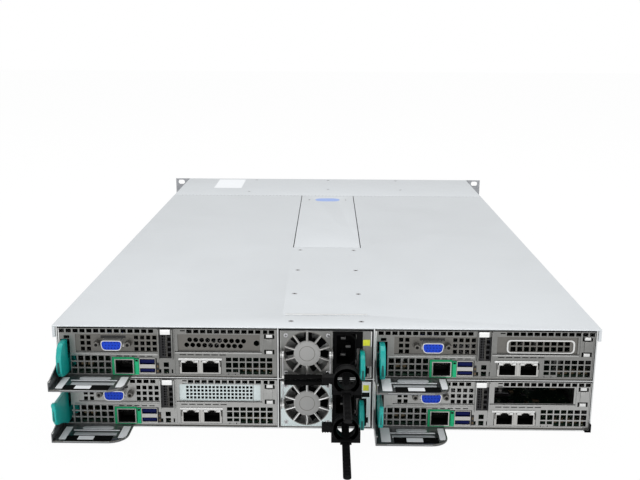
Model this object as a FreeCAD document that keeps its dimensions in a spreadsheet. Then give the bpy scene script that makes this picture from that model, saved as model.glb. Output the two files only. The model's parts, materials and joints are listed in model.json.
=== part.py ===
import FreeCAD, Part
import math
import os
import Sketcher
from FreeCAD import Vector

# A two-unit rack server whose body holds four sliding compute modules, two in a row and
# two rows high, on either side of a stack of two power supplies.
# Millimetres. +X to the right and +Y away from somebody who faces the rear, +Z up.
# The origin is the centre of the underside of the body.

doc = FreeCAD.newDocument("RackServer")

# ---------------------------------------------------------------- driving dimensions
SIZES = {
    # body shell
    "body_len": 708.0,
    "body_w": 432.0,
    "body_top": 87.4,
    "sheet": 1.0,
    "run_gap": 0.3,
    "fit_gap": 0.05,
    "cover_w": 438.0,
    "cover_t": 1.0,
    "hem_t": 2.4,
    "hem_drop": 10.0,
    "seam_y": 566.0,
    "seam_gap": 0.5,
    "mid_w": 72.0,
    "mid_start": 261.0,
    "mid_slit": 0.9,
    "touch_len": 31.0,
    "touch_w": 15.0,
    "touch_deep": 0.3,
    "touch_back": 33.0,
    "crease_y": 30.0,
    "crease_w": 1.2,
    "crease_deep": 0.6,
    "divider_t": 1.0,
    "divider_x": 38.0,
    "shelf_t": 0.7,
    "bay_len": 558.0,
    # compute module
    "mod_h": 41.7,
    "mod_len": 552.0,
    "face_in": 1.0,
    "tray_t": 1.0,
    "tray_wall": 0.8,
    "tray_side_h": 36.0,
    "panel_t": 1.0,
    "grip_w": 53.7,
    "grip_out": 32.0,
    "grip_back_h": 15.0,
    "grip_tip_h": 7.0,
    "grip_r": 16.0,
    "grip_hem": 1.6,
    "grip_hem_h": 1.0,
    "grip_nose": 4.0,
    "rib_from": 12.0,
    "rib_w": 20.0,
    "rib_len": 5.0,
    "rib_h": 0.8,
    "top_vent_x": 3.9,
    "top_vent_x2": 105.0,
    "top_vent_z": 39.6,
    "top_vent_w": 3.5,
    "top_vent_h": 2.5,
    "top_pitch": 5.5,
    "vent_sq": 3.9,
    "vent_x1": 13.0,
    "vent_x2": 136.4,
    "vent_z": 4.4,
    "low_pitch": 5.5,
    "plate_sq": 3.3,
    "plate_x1": 19.5,
    "plate_x2": 63.0,
    "plate_z": 23.8,
    "plate_pitch": 4.9,
    "vga_x": 43.0,
    "vga_z": 27.6,
    "vga_w": 16.7,
    "vga_h": 8.3,
    "vga_out": 5.6,
    "vga_body_w": 31.0,
    "vga_body_h": 12.5,
    "vga_body_deep": 9.0,
    "vga_skew": 1.2,
    "jack_pitch": 25.0,
    "jack_r": 2.6,
    "jack_out": 4.5,
    "slot_x": 96.0,
    "slot_w": 65.5,
    "slot_z": 22.3,
    "slot_h": 13.6,
    "slot_lap": 3.2,
    "clip_x": 166.4,
    "clip_w": 4.6,
    "clip_h": 3.2,
    "riser_x": 86.1,
    "riser_w": 6.0,
    "riser_z": 16.5,
    "riser_h": 19.0,
    "tab_w": 8.0,
    "tab_h": 3.6,
    "lan_x": 99.1,
    "lan_w": 11.7,
    "lan_step": 17.0,
    "lan_z": 4.2,
    "lan_h": 9.4,
    "jack_wall": 2.4,
    "jack_deep": 12.5,
    "jack_len": 16.0,
    "port_proud": 0.4,
    "key_w": 5.0,
    "key_h": 1.6,
    "mgmt_x": 46.0,
    "mgmt_w": 12.4,
    "mgmt_side": 3.6,
    "usb_x": 65.3,
    "usb_w": 13.1,
    "usb_h": 15.6,
    "usb_wall": 0.4,
    "usb_mouth": 5.1,
    "usb_tongue": 1.8,
    "usb_step": 7.8,
    "usb_deep": 9.0,
    "usb_len": 17.5,
    "latch_x": 1.7,
    "latch_t": 6.0,
    "latch_z": 2.4,
    "latch_h": 26.3,
    "latch_out": 27.0,
    "latch_tip_h": 17.0,
    "latch_flat": 7.0,
    "latch_in": 20.0,
    "latch_arm_h": 12.0,
    "latch_pin_r": 1.5,
    "latch_boss_r": 3.0,
    "latch_slot_deep": 2.2,
    "latch_slot_w": 2.6,
    "latch_slot_h": 12.0,
    "latch_room": 2.6,
    "latch_bow": 4.0,
    "tooth_out": 0.6,
    "tooth_len": 3.0,
    "tooth_y": 10.0,
    "notch_x": 4.5,
    "notch_z": 34.6,
    "notch_w": 5.0,
    "notch_h": 2.4,
    "board_z": 1.6,
    "board_t": 1.4,
    "board_x": 12.0,
    "board_w": 160.0,
    "board_start": 4.0,
    "board_len": 470.0,
    "spacer_sq": 6.0,
    "dimm_len": 133.4,
    "dimm_t": 4.0,
    "dimm_h": 31.0,
    "dimm_pitch": 9.2,
    "dimm_x1": 12.0,
    "dimm_x2": 132.0,
    "dimm_y": 110.0,
    "cpu_step": 175.0,
    "sink_w": 76.0,
    "sink_len": 104.0,
    "sink_base": 5.0,
    "sink_h": 26.0,
    "sink_gap": 5.0,
    "fin_t": 1.2,
    "fin_pitch": 10.685714,
    "fan_sq": 40.0,
    "fan_len": 56.0,
    "fan_pitch": 54.0,
    "fan_x": 18.0,
    "fan_y": 482.0,
    "fan_mouth": 37.0,
    "fan_mouth_deep": 6.0,
    "fan_hub": 17.0,
    # slot covers
    "slot_cover_t": 0.9,
    "round_r": 1.65,
    "round_pitch": 4.8,
    "round_x": 105.8,
    "round_z": 31.4,
    "round_row": 4.3,
    "round_off": 2.6,
    "thumb_x": 158.6,
    "thumb_r": 2.0,
    "mesh_sq": 1.8,
    "mesh_pitch": 3.0,
    "mesh_x": 102.1,
    "mesh_z": 24.2,
    "wide_sq": 3.8,
    "wide_pitch": 5.5,
    "wide_x": 108.5,
    "wide_z": 26.2,
    # power supply
    "psu_w": 73.5,
    "psu_h": 40.0,
    "psu_len": 185.0,
    "psu_face_in": 1.0,
    "psu_fan_x": 21.65,
    "psu_fan_z": 20.7,
    "well_r": 18.4,
    "well_deep": 16.0,
    "guard_t": 1.2,
    "guard_disc": 10.7,
    "spoke_w": 1.7,
    "rotor_r": 17.4,
    "rotor_hub": 9.6,
    "rotor_gap": 1.0,
    "rotor_len": 11.0,
    "blade_t": 1.1,
    "blade_twist": 35.0,
    "shaft_r": 1.5,
    "inlet_x": 44.4,
    "inlet_w": 16.4,
    "inlet_z": 11.5,
    "inlet_h": 26.5,
    "inlet_len": 20.0,
    "inlet_proud": 0.6,
    "mouth_w": 14.8,
    "mouth_h": 24.1,
    "mouth_deep": 15.5,
    "mouth_cut": 4.0,
    "pin_w": 4.0,
    "pin_t": 2.0,
    "pin_step": 7.0,
    "pin_off": 2.0,
    "pin_len": 13.5,
    "bail_x1": 1.9,
    "bail_x2": 39.6,
    "bail_t": 1.2,
    "bail_z": 22.0,
    "bail_out": 4.8,
    "bail_eye": 3.0,
    "bail_pin": 1.2,
    "bail_arm": 18.0,
    "bail_arm_w": 3.6,
    "bail_lean": 1.2,
    "grip_bar_r": 3.0,
    "lug_t": 1.2,
    "lug_h": 7.0,
    "psu_latch_x": 63.2,
    "psu_latch_t": 6.0,
    "psu_latch_z": 2.0,
    "psu_latch_h": 26.0,
    "psu_latch_out": 20.0,
    "psu_latch_tip": 16.0,
    "psu_latch_in": 18.0,
    "psu_latch_room": 1.9,
    "tag_hole_r": 1.5,
    "tag_hole_x": 71.3,
    "tag_hole_z": 10.5,
    "tag_hole_deep": 3.0,
    "strap_w": 6.0,
    "strap_t": 1.3,
    "strap_z": 7.2,
    "strap_out": 95.0,
    "strap_root": 7.0,
    "clamp_at": 40.0,
    "clamp_len": 10.0,
    "ring_out": 11.3,
    "ring_in": 8.5,
    "collar_w": 7.5,
    "collar_len": 4.0,
    "collar_h": 5.0,
    "tab_lap": 2.6,
    "clamp_base_w": 22.6,
    "clamp_base_h": 7.4,
    "clamp_tab": 8.0,
    "clamp_tab_h": 4.0,
    # drive end
    "back_t": 2.0,
    "back_y": 562.0,
    "socket_w": 60.0,
    "socket_h": 9.0,
    "socket_deep": 8.0,
    "socket_z": 16.0,
    "cage_y": 596.0,
    "cage_t": 0.8,
    "cage_rib": 0.6,
    "bay_pitch": 17.6,
    "drive_w": 14.8,
    "drive_h": 69.9,
    "drive_len": 98.0,
    "bezel_w": 16.6,
    "bezel_h": 80.0,
    "bezel_out": 8.0,
    "lever_w": 12.6,
    "lever_h": 62.0,
    "lever_bow": 4.0,
    "release_h": 9.0,
    # ears and buttons
    "ear_w": 482.6,
    "ear_t": 2.0,
    "ear_z": 0.4,
    "ear_h": 86.6,
    "ear_side_len": 44.0,
    "ear_side_z": 5.0,
    "ear_side_h": 68.0,
    "ear_side_t": 1.5,
    "hole_x": 465.1,
    "hole_z": 5.4,
    "hole_rise": 76.2,
    "ear_slot_w": 7.0,
    "ear_slot_len": 10.3,
    "pod_z": 13.5,
    "pod_h": 60.0,
    "pod_w": 21.0,
    "pod_out": 25.0,
    "pod_round": 3.0,
    "knob_w": 8.0,
    "knob_h": 5.0,
    "knob_z1": 24.0,
    "knob_z2": 40.0,
    "knob_len": 5.0,
    "knob_proud": 1.8,
    "knob_travel": 1.2,
    # power board between the supplies and the drive end
    "pdb_y": 192.0,
    "pdb_t": 2.4,
    "pdb_h": 84.0,
    "pdb_socket_w": 50.0,
    "pdb_socket_h": 10.0,
    "bar_w": 12.0,
    "bar_t": 3.0,
    "bar_x": 14.0,
}

# how many of each repeated form
TOP_VENTS_LEFT = 14
TOP_VENTS_RIGHT = 13
LOW_VENTS_LEFT = 6
LOW_VENTS_RIGHT = 7
LOW_VENT_ROWS = 3
PLATE_HOLES_LEFT = 2
PLATE_HOLES_RIGHT = 4
PLATE_ROWS = 3
RISER_HOLES = 2
MESH_HOLES = 18
MESH_ROWS = 4
ROUND_HOLES = 10
WIDE_HOLES = 9
WIDE_ROWS = 2
USB_MOUTHS = 2
PROCESSORS = 2
STICKS_PER_SIDE = 2
FINS = 8
FANS_PER_MODULE = 3
GUARD_SPOKES = 10
ROTOR_BLADES = 7
DRIVES = 24
PRISM_SIDES = 12

sheet = doc.addObject("Spreadsheet::Sheet", "Sizes")
for number, (word, length) in enumerate(SIZES.items(), start=1):
    sheet.set("A%d" % number, str(length))
    sheet.setAlias("A%d" % number, word)
doc.recompute()


class Size:
    """A length that knows its number and the spreadsheet formula it comes from."""

    def __init__(self, number, formula):
        self.number = number
        self.formula = formula

    def combine(self, other, sign, number):
        return Size(number, "(%s %s %s)" % (self.formula, sign, as_size(other).formula))

    def __add__(self, other):
        return self.combine(other, "+", self.number + as_size(other).number)

    def __sub__(self, other):
        return self.combine(other, "-", self.number - as_size(other).number)

    def __mul__(self, other):
        return self.combine(other, "*", self.number * as_size(other).number)

    def __truediv__(self, other):
        return self.combine(other, "/", self.number / as_size(other).number)

    def __radd__(self, other):
        return as_size(other) + self

    def __rsub__(self, other):
        return as_size(other) - self

    def __rmul__(self, other):
        return as_size(other) * self

    def __neg__(self):
        return as_size(0) - self


def as_size(value):
    return value if isinstance(value, Size) else Size(float(value), repr(float(value)))


class Sheet:
    """The cells of the spreadsheet by name: s.body_len is the cell body_len."""

    def __getattr__(self, word):
        return Size(SIZES[word], "Sizes." + word)


s = Sheet()
nodes = []


def bind(feature, prop, value):
    """Tie a property to the formula of a size, or set a plain number."""
    if isinstance(value, Size):
        feature.setExpression(prop, value.formula)
    else:
        setattr(feature, prop, value)


def new_body(label, x=None, y=None, z=None):
    """An empty body whose placement follows the sheet."""
    body = doc.addObject("PartDesign::Body", label)
    body.Label = label
    for axis, value in zip("xyz", (x, y, z)):
        if value is not None:
            bind(body, "Placement.Base." + axis, as_size(value))
    nodes.append(body)
    return body


def copy_body(source, label, x, y, z):
    """A second body with the shape of another one, at its own placement."""
    body = new_body(label, x, y, z)
    base = body.newObject("PartDesign::FeatureBase", label + "_shape")
    base.BaseFeature = source.Tip
    base.setExpression("Placement", source.Tip.Name + ".Placement")
    body.Tip = base
    return body


def origin_part(body, role):
    return next(item for item in body.Origin.OriginFeatures if item.Role == role)


def block(body, name, corner, size, cut=False):
    """A rectangular block added to a body, or cut from it."""
    kind = "PartDesign::SubtractiveBox" if cut else "PartDesign::AdditiveBox"
    feature = body.newObject(kind, name)
    for prop, value in zip(("Length", "Width", "Height"), size):
        bind(feature, prop, as_size(value))
    for axis, value in zip("xyz", corner):
        bind(feature, "Placement.Base." + axis, as_size(value))
    return feature


TURNS = {"x": ((0, 1, 0), 90), "y": ((1, 0, 0), -90), "z": ((0, 0, 1), 0)}


def rod(body, name, start, axis, radius, length, cut=False):
    """A cylinder from its start point along +X, +Y or +Z."""
    kind = "PartDesign::SubtractiveCylinder" if cut else "PartDesign::AdditiveCylinder"
    feature = body.newObject(kind, name)
    turn, angle = TURNS[axis]
    feature.Placement = FreeCAD.Placement(Vector(0, 0, 0), FreeCAD.Rotation(Vector(*turn), angle))
    bind(feature, "Radius", as_size(radius))
    bind(feature, "Height", as_size(length))
    for letter, value in zip("xyz", start):
        bind(feature, "Placement.Base." + letter, as_size(value))
    return feature


def prism(body, name, start, axis, radius, length, sides=PRISM_SIDES, cut=False, around=False):
    """A regular prism along an axis, inside a circle or, for a bore, around it."""
    kind = "PartDesign::SubtractivePrism" if cut else "PartDesign::AdditivePrism"
    feature = body.newObject(kind, name)
    turn, angle = TURNS[axis]
    feature.Placement = FreeCAD.Placement(Vector(0, 0, 0), FreeCAD.Rotation(Vector(*turn), angle))
    feature.Polygon = sides
    radius = as_size(radius)
    formula = "%s / cos(%f deg)" % (radius.formula, 180 / sides) if around else radius.formula
    feature.setExpression("Circumradius", formula)
    bind(feature, "Height", as_size(length))
    for letter, value in zip("xyz", start):
        bind(feature, "Placement.Base." + letter, as_size(value))
    return feature


def repeat(body, feature, axis, pitch, count, axis2=None, pitch2=None, count2=1):
    """Copies of a feature in a row, or in a grid when a second axis is given."""
    pattern = body.newObject("PartDesign::LinearPattern", feature.Name + "_row")
    pattern.Originals = [feature]
    pattern.Direction = (origin_part(body, axis + "_Axis"), [""])
    pattern.Mode = "Spacing"
    bind(pattern, "Offset", as_size(pitch))
    pattern.Occurrences = count
    if axis2:
        pattern.Direction2 = (origin_part(body, axis2 + "_Axis"), [""])
        pattern.Mode2 = "Spacing"
        bind(pattern, "Offset2", as_size(pitch2))
        pattern.Occurrences2 = count2
    body.Tip = pattern
    return pattern


def spin(body, feature, axis_sketch, count):
    """Copies of a feature round the normal of a sketch."""
    pattern = body.newObject("PartDesign::PolarPattern", feature.Name + "_ring")
    pattern.Originals = [feature]
    pattern.Axis = (axis_sketch, ["N_Axis"])
    pattern.Angle = 360
    pattern.Occurrences = count
    body.Tip = pattern
    return pattern


def new_sketch(body, name, plane, offset=None):
    """A sketch on an origin plane of its body, moved along the plane's normal."""
    sketch = body.newObject("Sketcher::SketchObject", name)
    sketch.AttachmentSupport = [(origin_part(body, plane + "_Plane"), "")]
    sketch.MapMode = "FlatFace"
    if offset is not None:
        bind(sketch, "AttachmentOffset.Base.z", as_size(offset))
    return sketch


def pin_point(sketch, line, end, point):
    """Hold one end of a line at a point that follows the sheet."""
    for kind, value in zip(("DistanceX", "DistanceY"), point):
        value = as_size(value)
        index = sketch.addConstraint(Sketcher.Constraint(kind, -1, 1, line, end, value.number))
        sketch.setExpression("Constraints[%d]" % index, value.formula)


def outline(sketch, points):
    """A closed outline of straight lines through points that follow the sheet."""
    corners = [Vector(as_size(x).number, as_size(y).number, 0) for x, y in points]
    first = sketch.GeometryCount
    for here, there in zip(corners, corners[1:] + corners[:1]):
        sketch.addGeometry(Part.LineSegment(here, there), False)
    count = len(points)
    for i in range(count):
        joint = (first + i, 2, first + (i + 1) % count, 1)
        sketch.addConstraint(Sketcher.Constraint("Coincident", *joint))
        pin_point(sketch, first + i, 1, points[i])


def ring_line(sketch, x, y, radius):
    """A circle whose centre and radius follow the sheet."""
    x, y, radius = as_size(x), as_size(y), as_size(radius)
    shape = Part.Circle(Vector(x.number, y.number, 0), Vector(0, 0, 1), radius.number)
    circle = sketch.addGeometry(shape, False)
    pin_point(sketch, circle, 3, (x, y))
    index = sketch.addConstraint(Sketcher.Constraint("Radius", circle, radius.number))
    sketch.setExpression("Constraints[%d]" % index, radius.formula)


def pad(body, name, sketch, length, backwards=False):
    feature = body.newObject("PartDesign::Pad", name)
    feature.Profile = sketch
    bind(feature, "Length", as_size(length))
    feature.Reversed = backwards
    return feature


def pocket(body, name, sketch, length, backwards=False):
    feature = body.newObject("PartDesign::Pocket", name)
    feature.Profile = sketch
    bind(feature, "Length", as_size(length))
    feature.Reversed = backwards
    return feature


def round_edges(body, name, radius, chosen):
    """A fillet on the edges of the tip that the test picks."""
    doc.recompute()
    base = body.Tip
    edges = base.Shape.Edges
    picked = ["Edge%d" % (i + 1) for i in range(len(edges)) if chosen(edges[i])]
    fillet = body.newObject("PartDesign::Fillet", name)
    fillet.Base = (base, picked)
    bind(fillet, "Radius", as_size(radius))
    return fillet


def upright_edge_at(x, y):
    """A test for the vertical edge through a point."""
    x, y = as_size(x).number, as_size(y).number

    def test(edge):
        ends = [vertex.Point for vertex in edge.Vertexes]
        if len(ends) != 2:
            return False
        near = all(abs(end.x - x) < 1e-3 and abs(end.y - y) < 1e-3 for end in ends)
        return near and abs(ends[0].z - ends[1].z) > 1e-3

    return test


# ---------------------------------------------------------------- places worked out once
rear_y = -s.body_len / 2
wall_x = s.body_w / 2
inner_x = wall_x - s.sheet
cover_under = s.body_top - s.cover_t
bay_left_x = -inner_x + s.run_gap
bay_right_x = s.divider_x + s.divider_t + s.run_gap
mod_w = inner_x - s.divider_x - s.divider_t - 2 * s.run_gap
low_z = s.sheet + s.run_gap
level = s.mod_h + 2 * s.run_gap + s.shelf_t
shelf_z = low_z + s.mod_h + s.run_gap
seam = rear_y + s.seam_y
psu_x = -s.psu_w / 2
board_top = s.board_z + s.board_t
lan_block_w = s.lan_step + s.lan_w + 2 * s.jack_wall
jack_h = s.lan_z + s.lan_h + s.key_h - board_top
inlet_mid = s.inlet_x + s.inlet_w / 2
sink_y = s.dimm_y + (s.dimm_len - s.sink_len) / 2
knob_well = s.knob_len - s.knob_proud + s.knob_travel + s.run_gap

# number of the module or supply: its left edge and its floor
MODULES = {
    1: (bay_left_x, low_z),
    2: (bay_left_x, low_z + level),
    3: (bay_right_x, low_z),
    4: (bay_right_x, low_z + level),
}
SUPPLIES = {1: low_z, 2: low_z + level}


# ---------------------------------------------------------------- body shell
def chassis_pan():
    """Floor and side walls, bent from one sheet."""
    body = new_body("chassis_pan", y=rear_y)
    block(body, "floor", (-wall_x, 0, 0), (s.body_w, s.body_len, s.sheet))
    for side, x in (("left", -wall_x), ("right", inner_x)):
        block(body, side + "_wall", (x, 0, 0), (s.sheet, s.body_len, cover_under))


def bay_frame():
    """Upright dividers between the bays and the shelves under the upper row."""
    body = new_body("bay_frame", y=rear_y)
    body.AllowCompound = True
    floor_z = as_size(s.sheet)
    tall = cover_under - s.sheet
    for side, x in (("left", -s.divider_x - s.divider_t), ("right", s.divider_x)):
        block(body, side + "_divider", (x, 0, floor_z), (s.divider_t, s.bay_len, tall))
    shelf_w = inner_x - s.divider_x - s.divider_t - 2 * s.fit_gap
    for side, x in (("left", -inner_x), ("right", s.divider_x + s.divider_t)):
        block(body, side + "_shelf", (x + s.fit_gap, 0, shelf_z), (shelf_w, s.bay_len, s.shelf_t))
    block(body, "supply_shelf", (-s.divider_x + s.fit_gap, 0, shelf_z),
          (2 * (s.divider_x - s.fit_gap), s.psu_len, s.shelf_t))


def cover_profile(sketch):
    """Cross-section of a cover: a flat sheet with a folded hem down each side."""
    half = s.cover_w / 2
    top = s.body_top
    low = top - s.hem_drop
    outline(sketch, [(-half, low), (-half, top), (half, top), (half, low),
                     (half - s.hem_t, low), (half - s.hem_t, cover_under),
                     (-half + s.hem_t, cover_under), (-half + s.hem_t, low)])


def rear_cover():
    """Cover over the modules, with a gap for the middle cover and a pressed crease."""
    body = new_body("rear_cover", y=rear_y)
    profile = new_sketch(body, "cover_section", "XZ")
    cover_profile(profile)
    pad(body, "cover_sheet", profile, s.seam_y - s.seam_gap / 2, backwards=True)
    block(body, "middle_gap", (-s.mid_w / 2 - s.mid_slit, s.mid_start, cover_under),
          (s.mid_w + 2 * s.mid_slit, s.seam_y - s.mid_start, s.cover_t), cut=True)
    block(body, "crease", (-s.mid_w / 2, s.crease_y, s.body_top - s.crease_deep),
          (s.mid_w, s.crease_w, s.crease_deep), cut=True)


def front_cover():
    """Cover over the drives, as wide as the rear cover and flush with it."""
    start = s.seam_y + s.seam_gap / 2
    body = new_body("front_cover", y=rear_y)
    profile = new_sketch(body, "cover_section", "XZ", -start)
    cover_profile(profile)
    pad(body, "cover_sheet", profile, s.body_len - s.ear_t - s.run_gap - start, backwards=True)


def middle_cover():
    """Cover of the middle tunnel with a shallow touch pad near its front edge."""
    body = new_body("middle_cover", y=rear_y)
    length = s.seam_y - s.seam_gap / 2 - s.mid_start - s.seam_gap
    block(body, "cover_sheet", (-s.mid_w / 2, s.mid_start + s.seam_gap, cover_under),
          (s.mid_w, length, s.cover_t))
    pad_sketch = new_sketch(body, "touch_oval", "XY", s.body_top)
    half = (s.touch_len - s.touch_w) / 2
    centre = s.seam_y - s.touch_back
    oval(pad_sketch, centre, half, s.touch_w / 2)
    pocket(body, "touch_dip", pad_sketch, s.touch_deep)


def oval(sketch, centre, half, radius):
    """A slot outline along X: two straight lines closed by two half circles."""
    centre, half, radius = as_size(centre), as_size(half), as_size(radius)
    y, w, r = centre.number, half.number, radius.number
    low = sketch.addGeometry(Part.LineSegment(Vector(-w, y - r, 0), Vector(w, y - r, 0)), False)
    top = sketch.addGeometry(Part.LineSegment(Vector(w, y + r, 0), Vector(-w, y + r, 0)), False)
    arcs = []
    for x, start in ((w, -90), (-w, 90)):
        circle = Part.Circle(Vector(x, y, 0), Vector(0, 0, 1), r)
        arc = Part.ArcOfCircle(circle, math.radians(start), math.radians(start + 180))
        arcs.append(sketch.addGeometry(arc, False))
    right, left = arcs
    for one, end, two, start in ((low, 2, right, 1), (right, 2, top, 1),
                                 (top, 2, left, 1), (left, 2, low, 1)):
        sketch.addConstraint(Sketcher.Constraint("Tangent", one, end, two, start))
    pin_point(sketch, right, 3, (half, centre))
    pin_point(sketch, left, 3, (-half, centre))
    index = sketch.addConstraint(Sketcher.Constraint("Radius", right, radius.number))
    sketch.setExpression("Constraints[%d]" % index, radius.formula)


# ---------------------------------------------------------------- compute modules
def module_tray(n):
    """Sliding sheet tray with side walls, and the pull tray bent out of its floor."""
    x, z = MODULES[n]
    body = new_body("module_tray_%d" % n, x, rear_y, z)
    block(body, "tray_floor", (0, s.face_in, 0), (mod_w, s.mod_len - s.face_in, s.tray_t))
    wall_y = s.face_in + s.panel_t
    for side, wall in (("left", as_size(0)), ("right", mod_w - s.tray_wall)):
        block(body, side + "_side", (wall, wall_y, 0),
              (s.tray_wall, s.mod_len - wall_y, s.tray_side_h))
    block(body, "pull_floor", (0, -s.grip_out, 0), (s.grip_w, s.grip_out + s.face_in, s.tray_t))
    round_edges(body, "near_corner", s.grip_r, upright_edge_at(s.grip_w, -s.grip_out))
    block(body, "near_hem", (0, -s.grip_out, 0),
          (s.grip_w - s.grip_r, s.grip_hem, s.tray_t + s.grip_hem_h))
    side = new_sketch(body, "pull_side_shape", "YZ")
    tip = -s.grip_out + s.grip_nose
    outline(side, [(-s.grip_out, 0), (s.face_in, 0), (s.face_in, s.grip_back_h),
                   (-2 * s.tray_t, s.grip_back_h), (tip, s.grip_tip_h), (-s.grip_out, s.grip_tip_h)])
    pad(body, "pull_side", side, s.tray_wall)
    block(body, "pull_rib", (s.rib_from, -s.rib_len - s.tray_t, s.tray_t),
          (s.rib_w, s.rib_len, s.rib_h))
    prism(body, "latch_pin", (s.latch_x + s.latch_t / 2, s.latch_in, 0), "z", s.latch_pin_r,
          s.latch_z + s.latch_arm_h + s.tray_t)
    return body


def module_panel(n):
    """Rear face of a module: vents, port cut-outs and the card slot."""
    x, z = MODULES[n]
    body = new_body("module_panel_%d" % n, x, rear_y, z)
    deep = (s.face_in, s.panel_t)

    def hole(name, px, pz, w, tall):
        return block(body, name, (px, deep[0], pz), (w, deep[1], tall), cut=True)

    block(body, "panel", (0, s.face_in, s.tray_t), (mod_w, s.panel_t, s.mod_h - s.tray_t))
    top_z = s.top_vent_z - s.top_vent_h / 2
    repeat(body, hole("top_left", s.top_vent_x - s.top_vent_w / 2, top_z,
                      s.top_vent_w, s.top_vent_h), "X", s.top_pitch, TOP_VENTS_LEFT)
    repeat(body, hole("top_right", s.top_vent_x2 - s.top_vent_w / 2, top_z,
                      s.top_vent_w, s.top_vent_h), "X", s.top_pitch, TOP_VENTS_RIGHT)
    half = s.vent_sq / 2
    repeat(body, hole("low_left", s.vent_x1 - half, s.vent_z - half, s.vent_sq, s.vent_sq),
           "X", s.low_pitch, LOW_VENTS_LEFT, "Z", s.low_pitch, LOW_VENT_ROWS)
    repeat(body, hole("low_right", s.vent_x2 - half, s.vent_z - half, s.vent_sq, s.vent_sq),
           "X", s.low_pitch, LOW_VENTS_RIGHT, "Z", s.low_pitch, LOW_VENT_ROWS)
    half = s.plate_sq / 2
    repeat(body, hole("plate_left", s.plate_x1 - half, s.plate_z - half, s.plate_sq, s.plate_sq),
           "X", s.plate_pitch, PLATE_HOLES_LEFT, "Z", s.plate_pitch, PLATE_ROWS)
    repeat(body, hole("plate_right", s.plate_x2 - half, s.plate_z - half, s.plate_sq, s.plate_sq),
           "X", s.plate_pitch, PLATE_HOLES_RIGHT, "Z", s.plate_pitch, PLATE_ROWS)
    repeat(body, hole("riser_hole", s.riser_x - half, s.vent_z, s.plate_sq, s.plate_sq),
           "Z", s.low_pitch, RISER_HOLES)
    hole("riser_slot", s.riser_x - s.riser_w / 2, s.riser_z, s.riser_w, s.riser_h)
    gap = s.run_gap
    hole("slot", s.slot_x, s.slot_z, s.slot_w, s.slot_h)
    hole("lan_gap", s.lan_x - s.jack_wall - gap, board_top - gap,
         lan_block_w + 2 * gap, jack_h + 2 * gap)
    hole("mgmt_gap", s.mgmt_x - s.jack_wall - gap, board_top - gap,
         s.usb_x + s.usb_w - s.mgmt_x + s.jack_wall + 2 * gap, s.usb_h + 2 * gap)
    vga_gap = s.vga_w / 2 + gap
    hole("vga_gap", s.vga_x - vga_gap, s.vga_z - s.vga_h / 2 - gap, 2 * vga_gap, s.vga_h + 2 * gap)
    for side, px in (("left", -s.jack_pitch / 2), ("right", s.jack_pitch / 2)):
        prism(body, side + "_jack_hole", (s.vga_x + px, s.face_in, s.vga_z), "y",
              s.jack_r + gap, s.panel_t, 6, cut=True)
    hole("latch_gap", s.latch_x - gap, s.latch_z - gap,
         s.latch_t + s.latch_room + gap, s.latch_h + 2 * gap)
    hole("notch", s.notch_x, s.notch_z, s.notch_w, s.notch_h)
    for name, pz in (("low_clip", s.slot_z), ("top_clip", s.slot_z + s.slot_h - s.clip_h)):
        hole(name, s.clip_x, pz, s.clip_w, s.clip_h)
    block(body, "riser_tab", (s.riser_x - s.tab_w / 2, s.face_in - s.panel_t, s.mod_h - s.tab_h),
          (s.tab_w, s.panel_t, s.tab_h))
    return body


def slot_cover(n):
    """Plate behind the card slot, each with the perforation of its own card."""
    x, z = MODULES[n]
    body = new_body("slot_cover_%d" % n, x, rear_y, z)
    y = s.face_in + s.panel_t
    block(body, "plate", (s.slot_x - s.slot_lap, y, s.slot_z - s.slot_lap / 2),
          (s.slot_w + 2 * s.slot_lap, s.slot_cover_t, s.slot_h + s.slot_lap))
    if n == 1:
        half = s.mesh_sq / 2
        hole = block(body, "mesh", (s.mesh_x - half, y, s.mesh_z - half),
                     (s.mesh_sq, s.slot_cover_t, s.mesh_sq), cut=True)
        repeat(body, hole, "X", s.mesh_pitch, MESH_HOLES, "Z", s.mesh_pitch, MESH_ROWS)
    if n == 2:
        for name, px, pz in (("upper", s.round_x, s.round_z),
                             ("lower", s.round_x - s.round_off, s.round_z - s.round_row)):
            hole = prism(body, name, (px, y, pz), "y", s.round_r, s.slot_cover_t, 8,
                         cut=True, around=True)
            repeat(body, hole, "X", s.round_pitch, ROUND_HOLES)
        prism(body, "thumb", (s.thumb_x, y, s.slot_z + s.slot_h / 2), "y", s.thumb_r,
              s.slot_cover_t, cut=True, around=True)
    if n == 4:
        half = s.wide_sq / 2
        hole = block(body, "wide", (s.wide_x - half, y, s.wide_z - half),
                     (s.wide_sq, s.slot_cover_t, s.wide_sq), cut=True)
        repeat(body, hole, "X", s.wide_pitch, WIDE_HOLES, "Z", s.wide_pitch, WIDE_ROWS)


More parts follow.
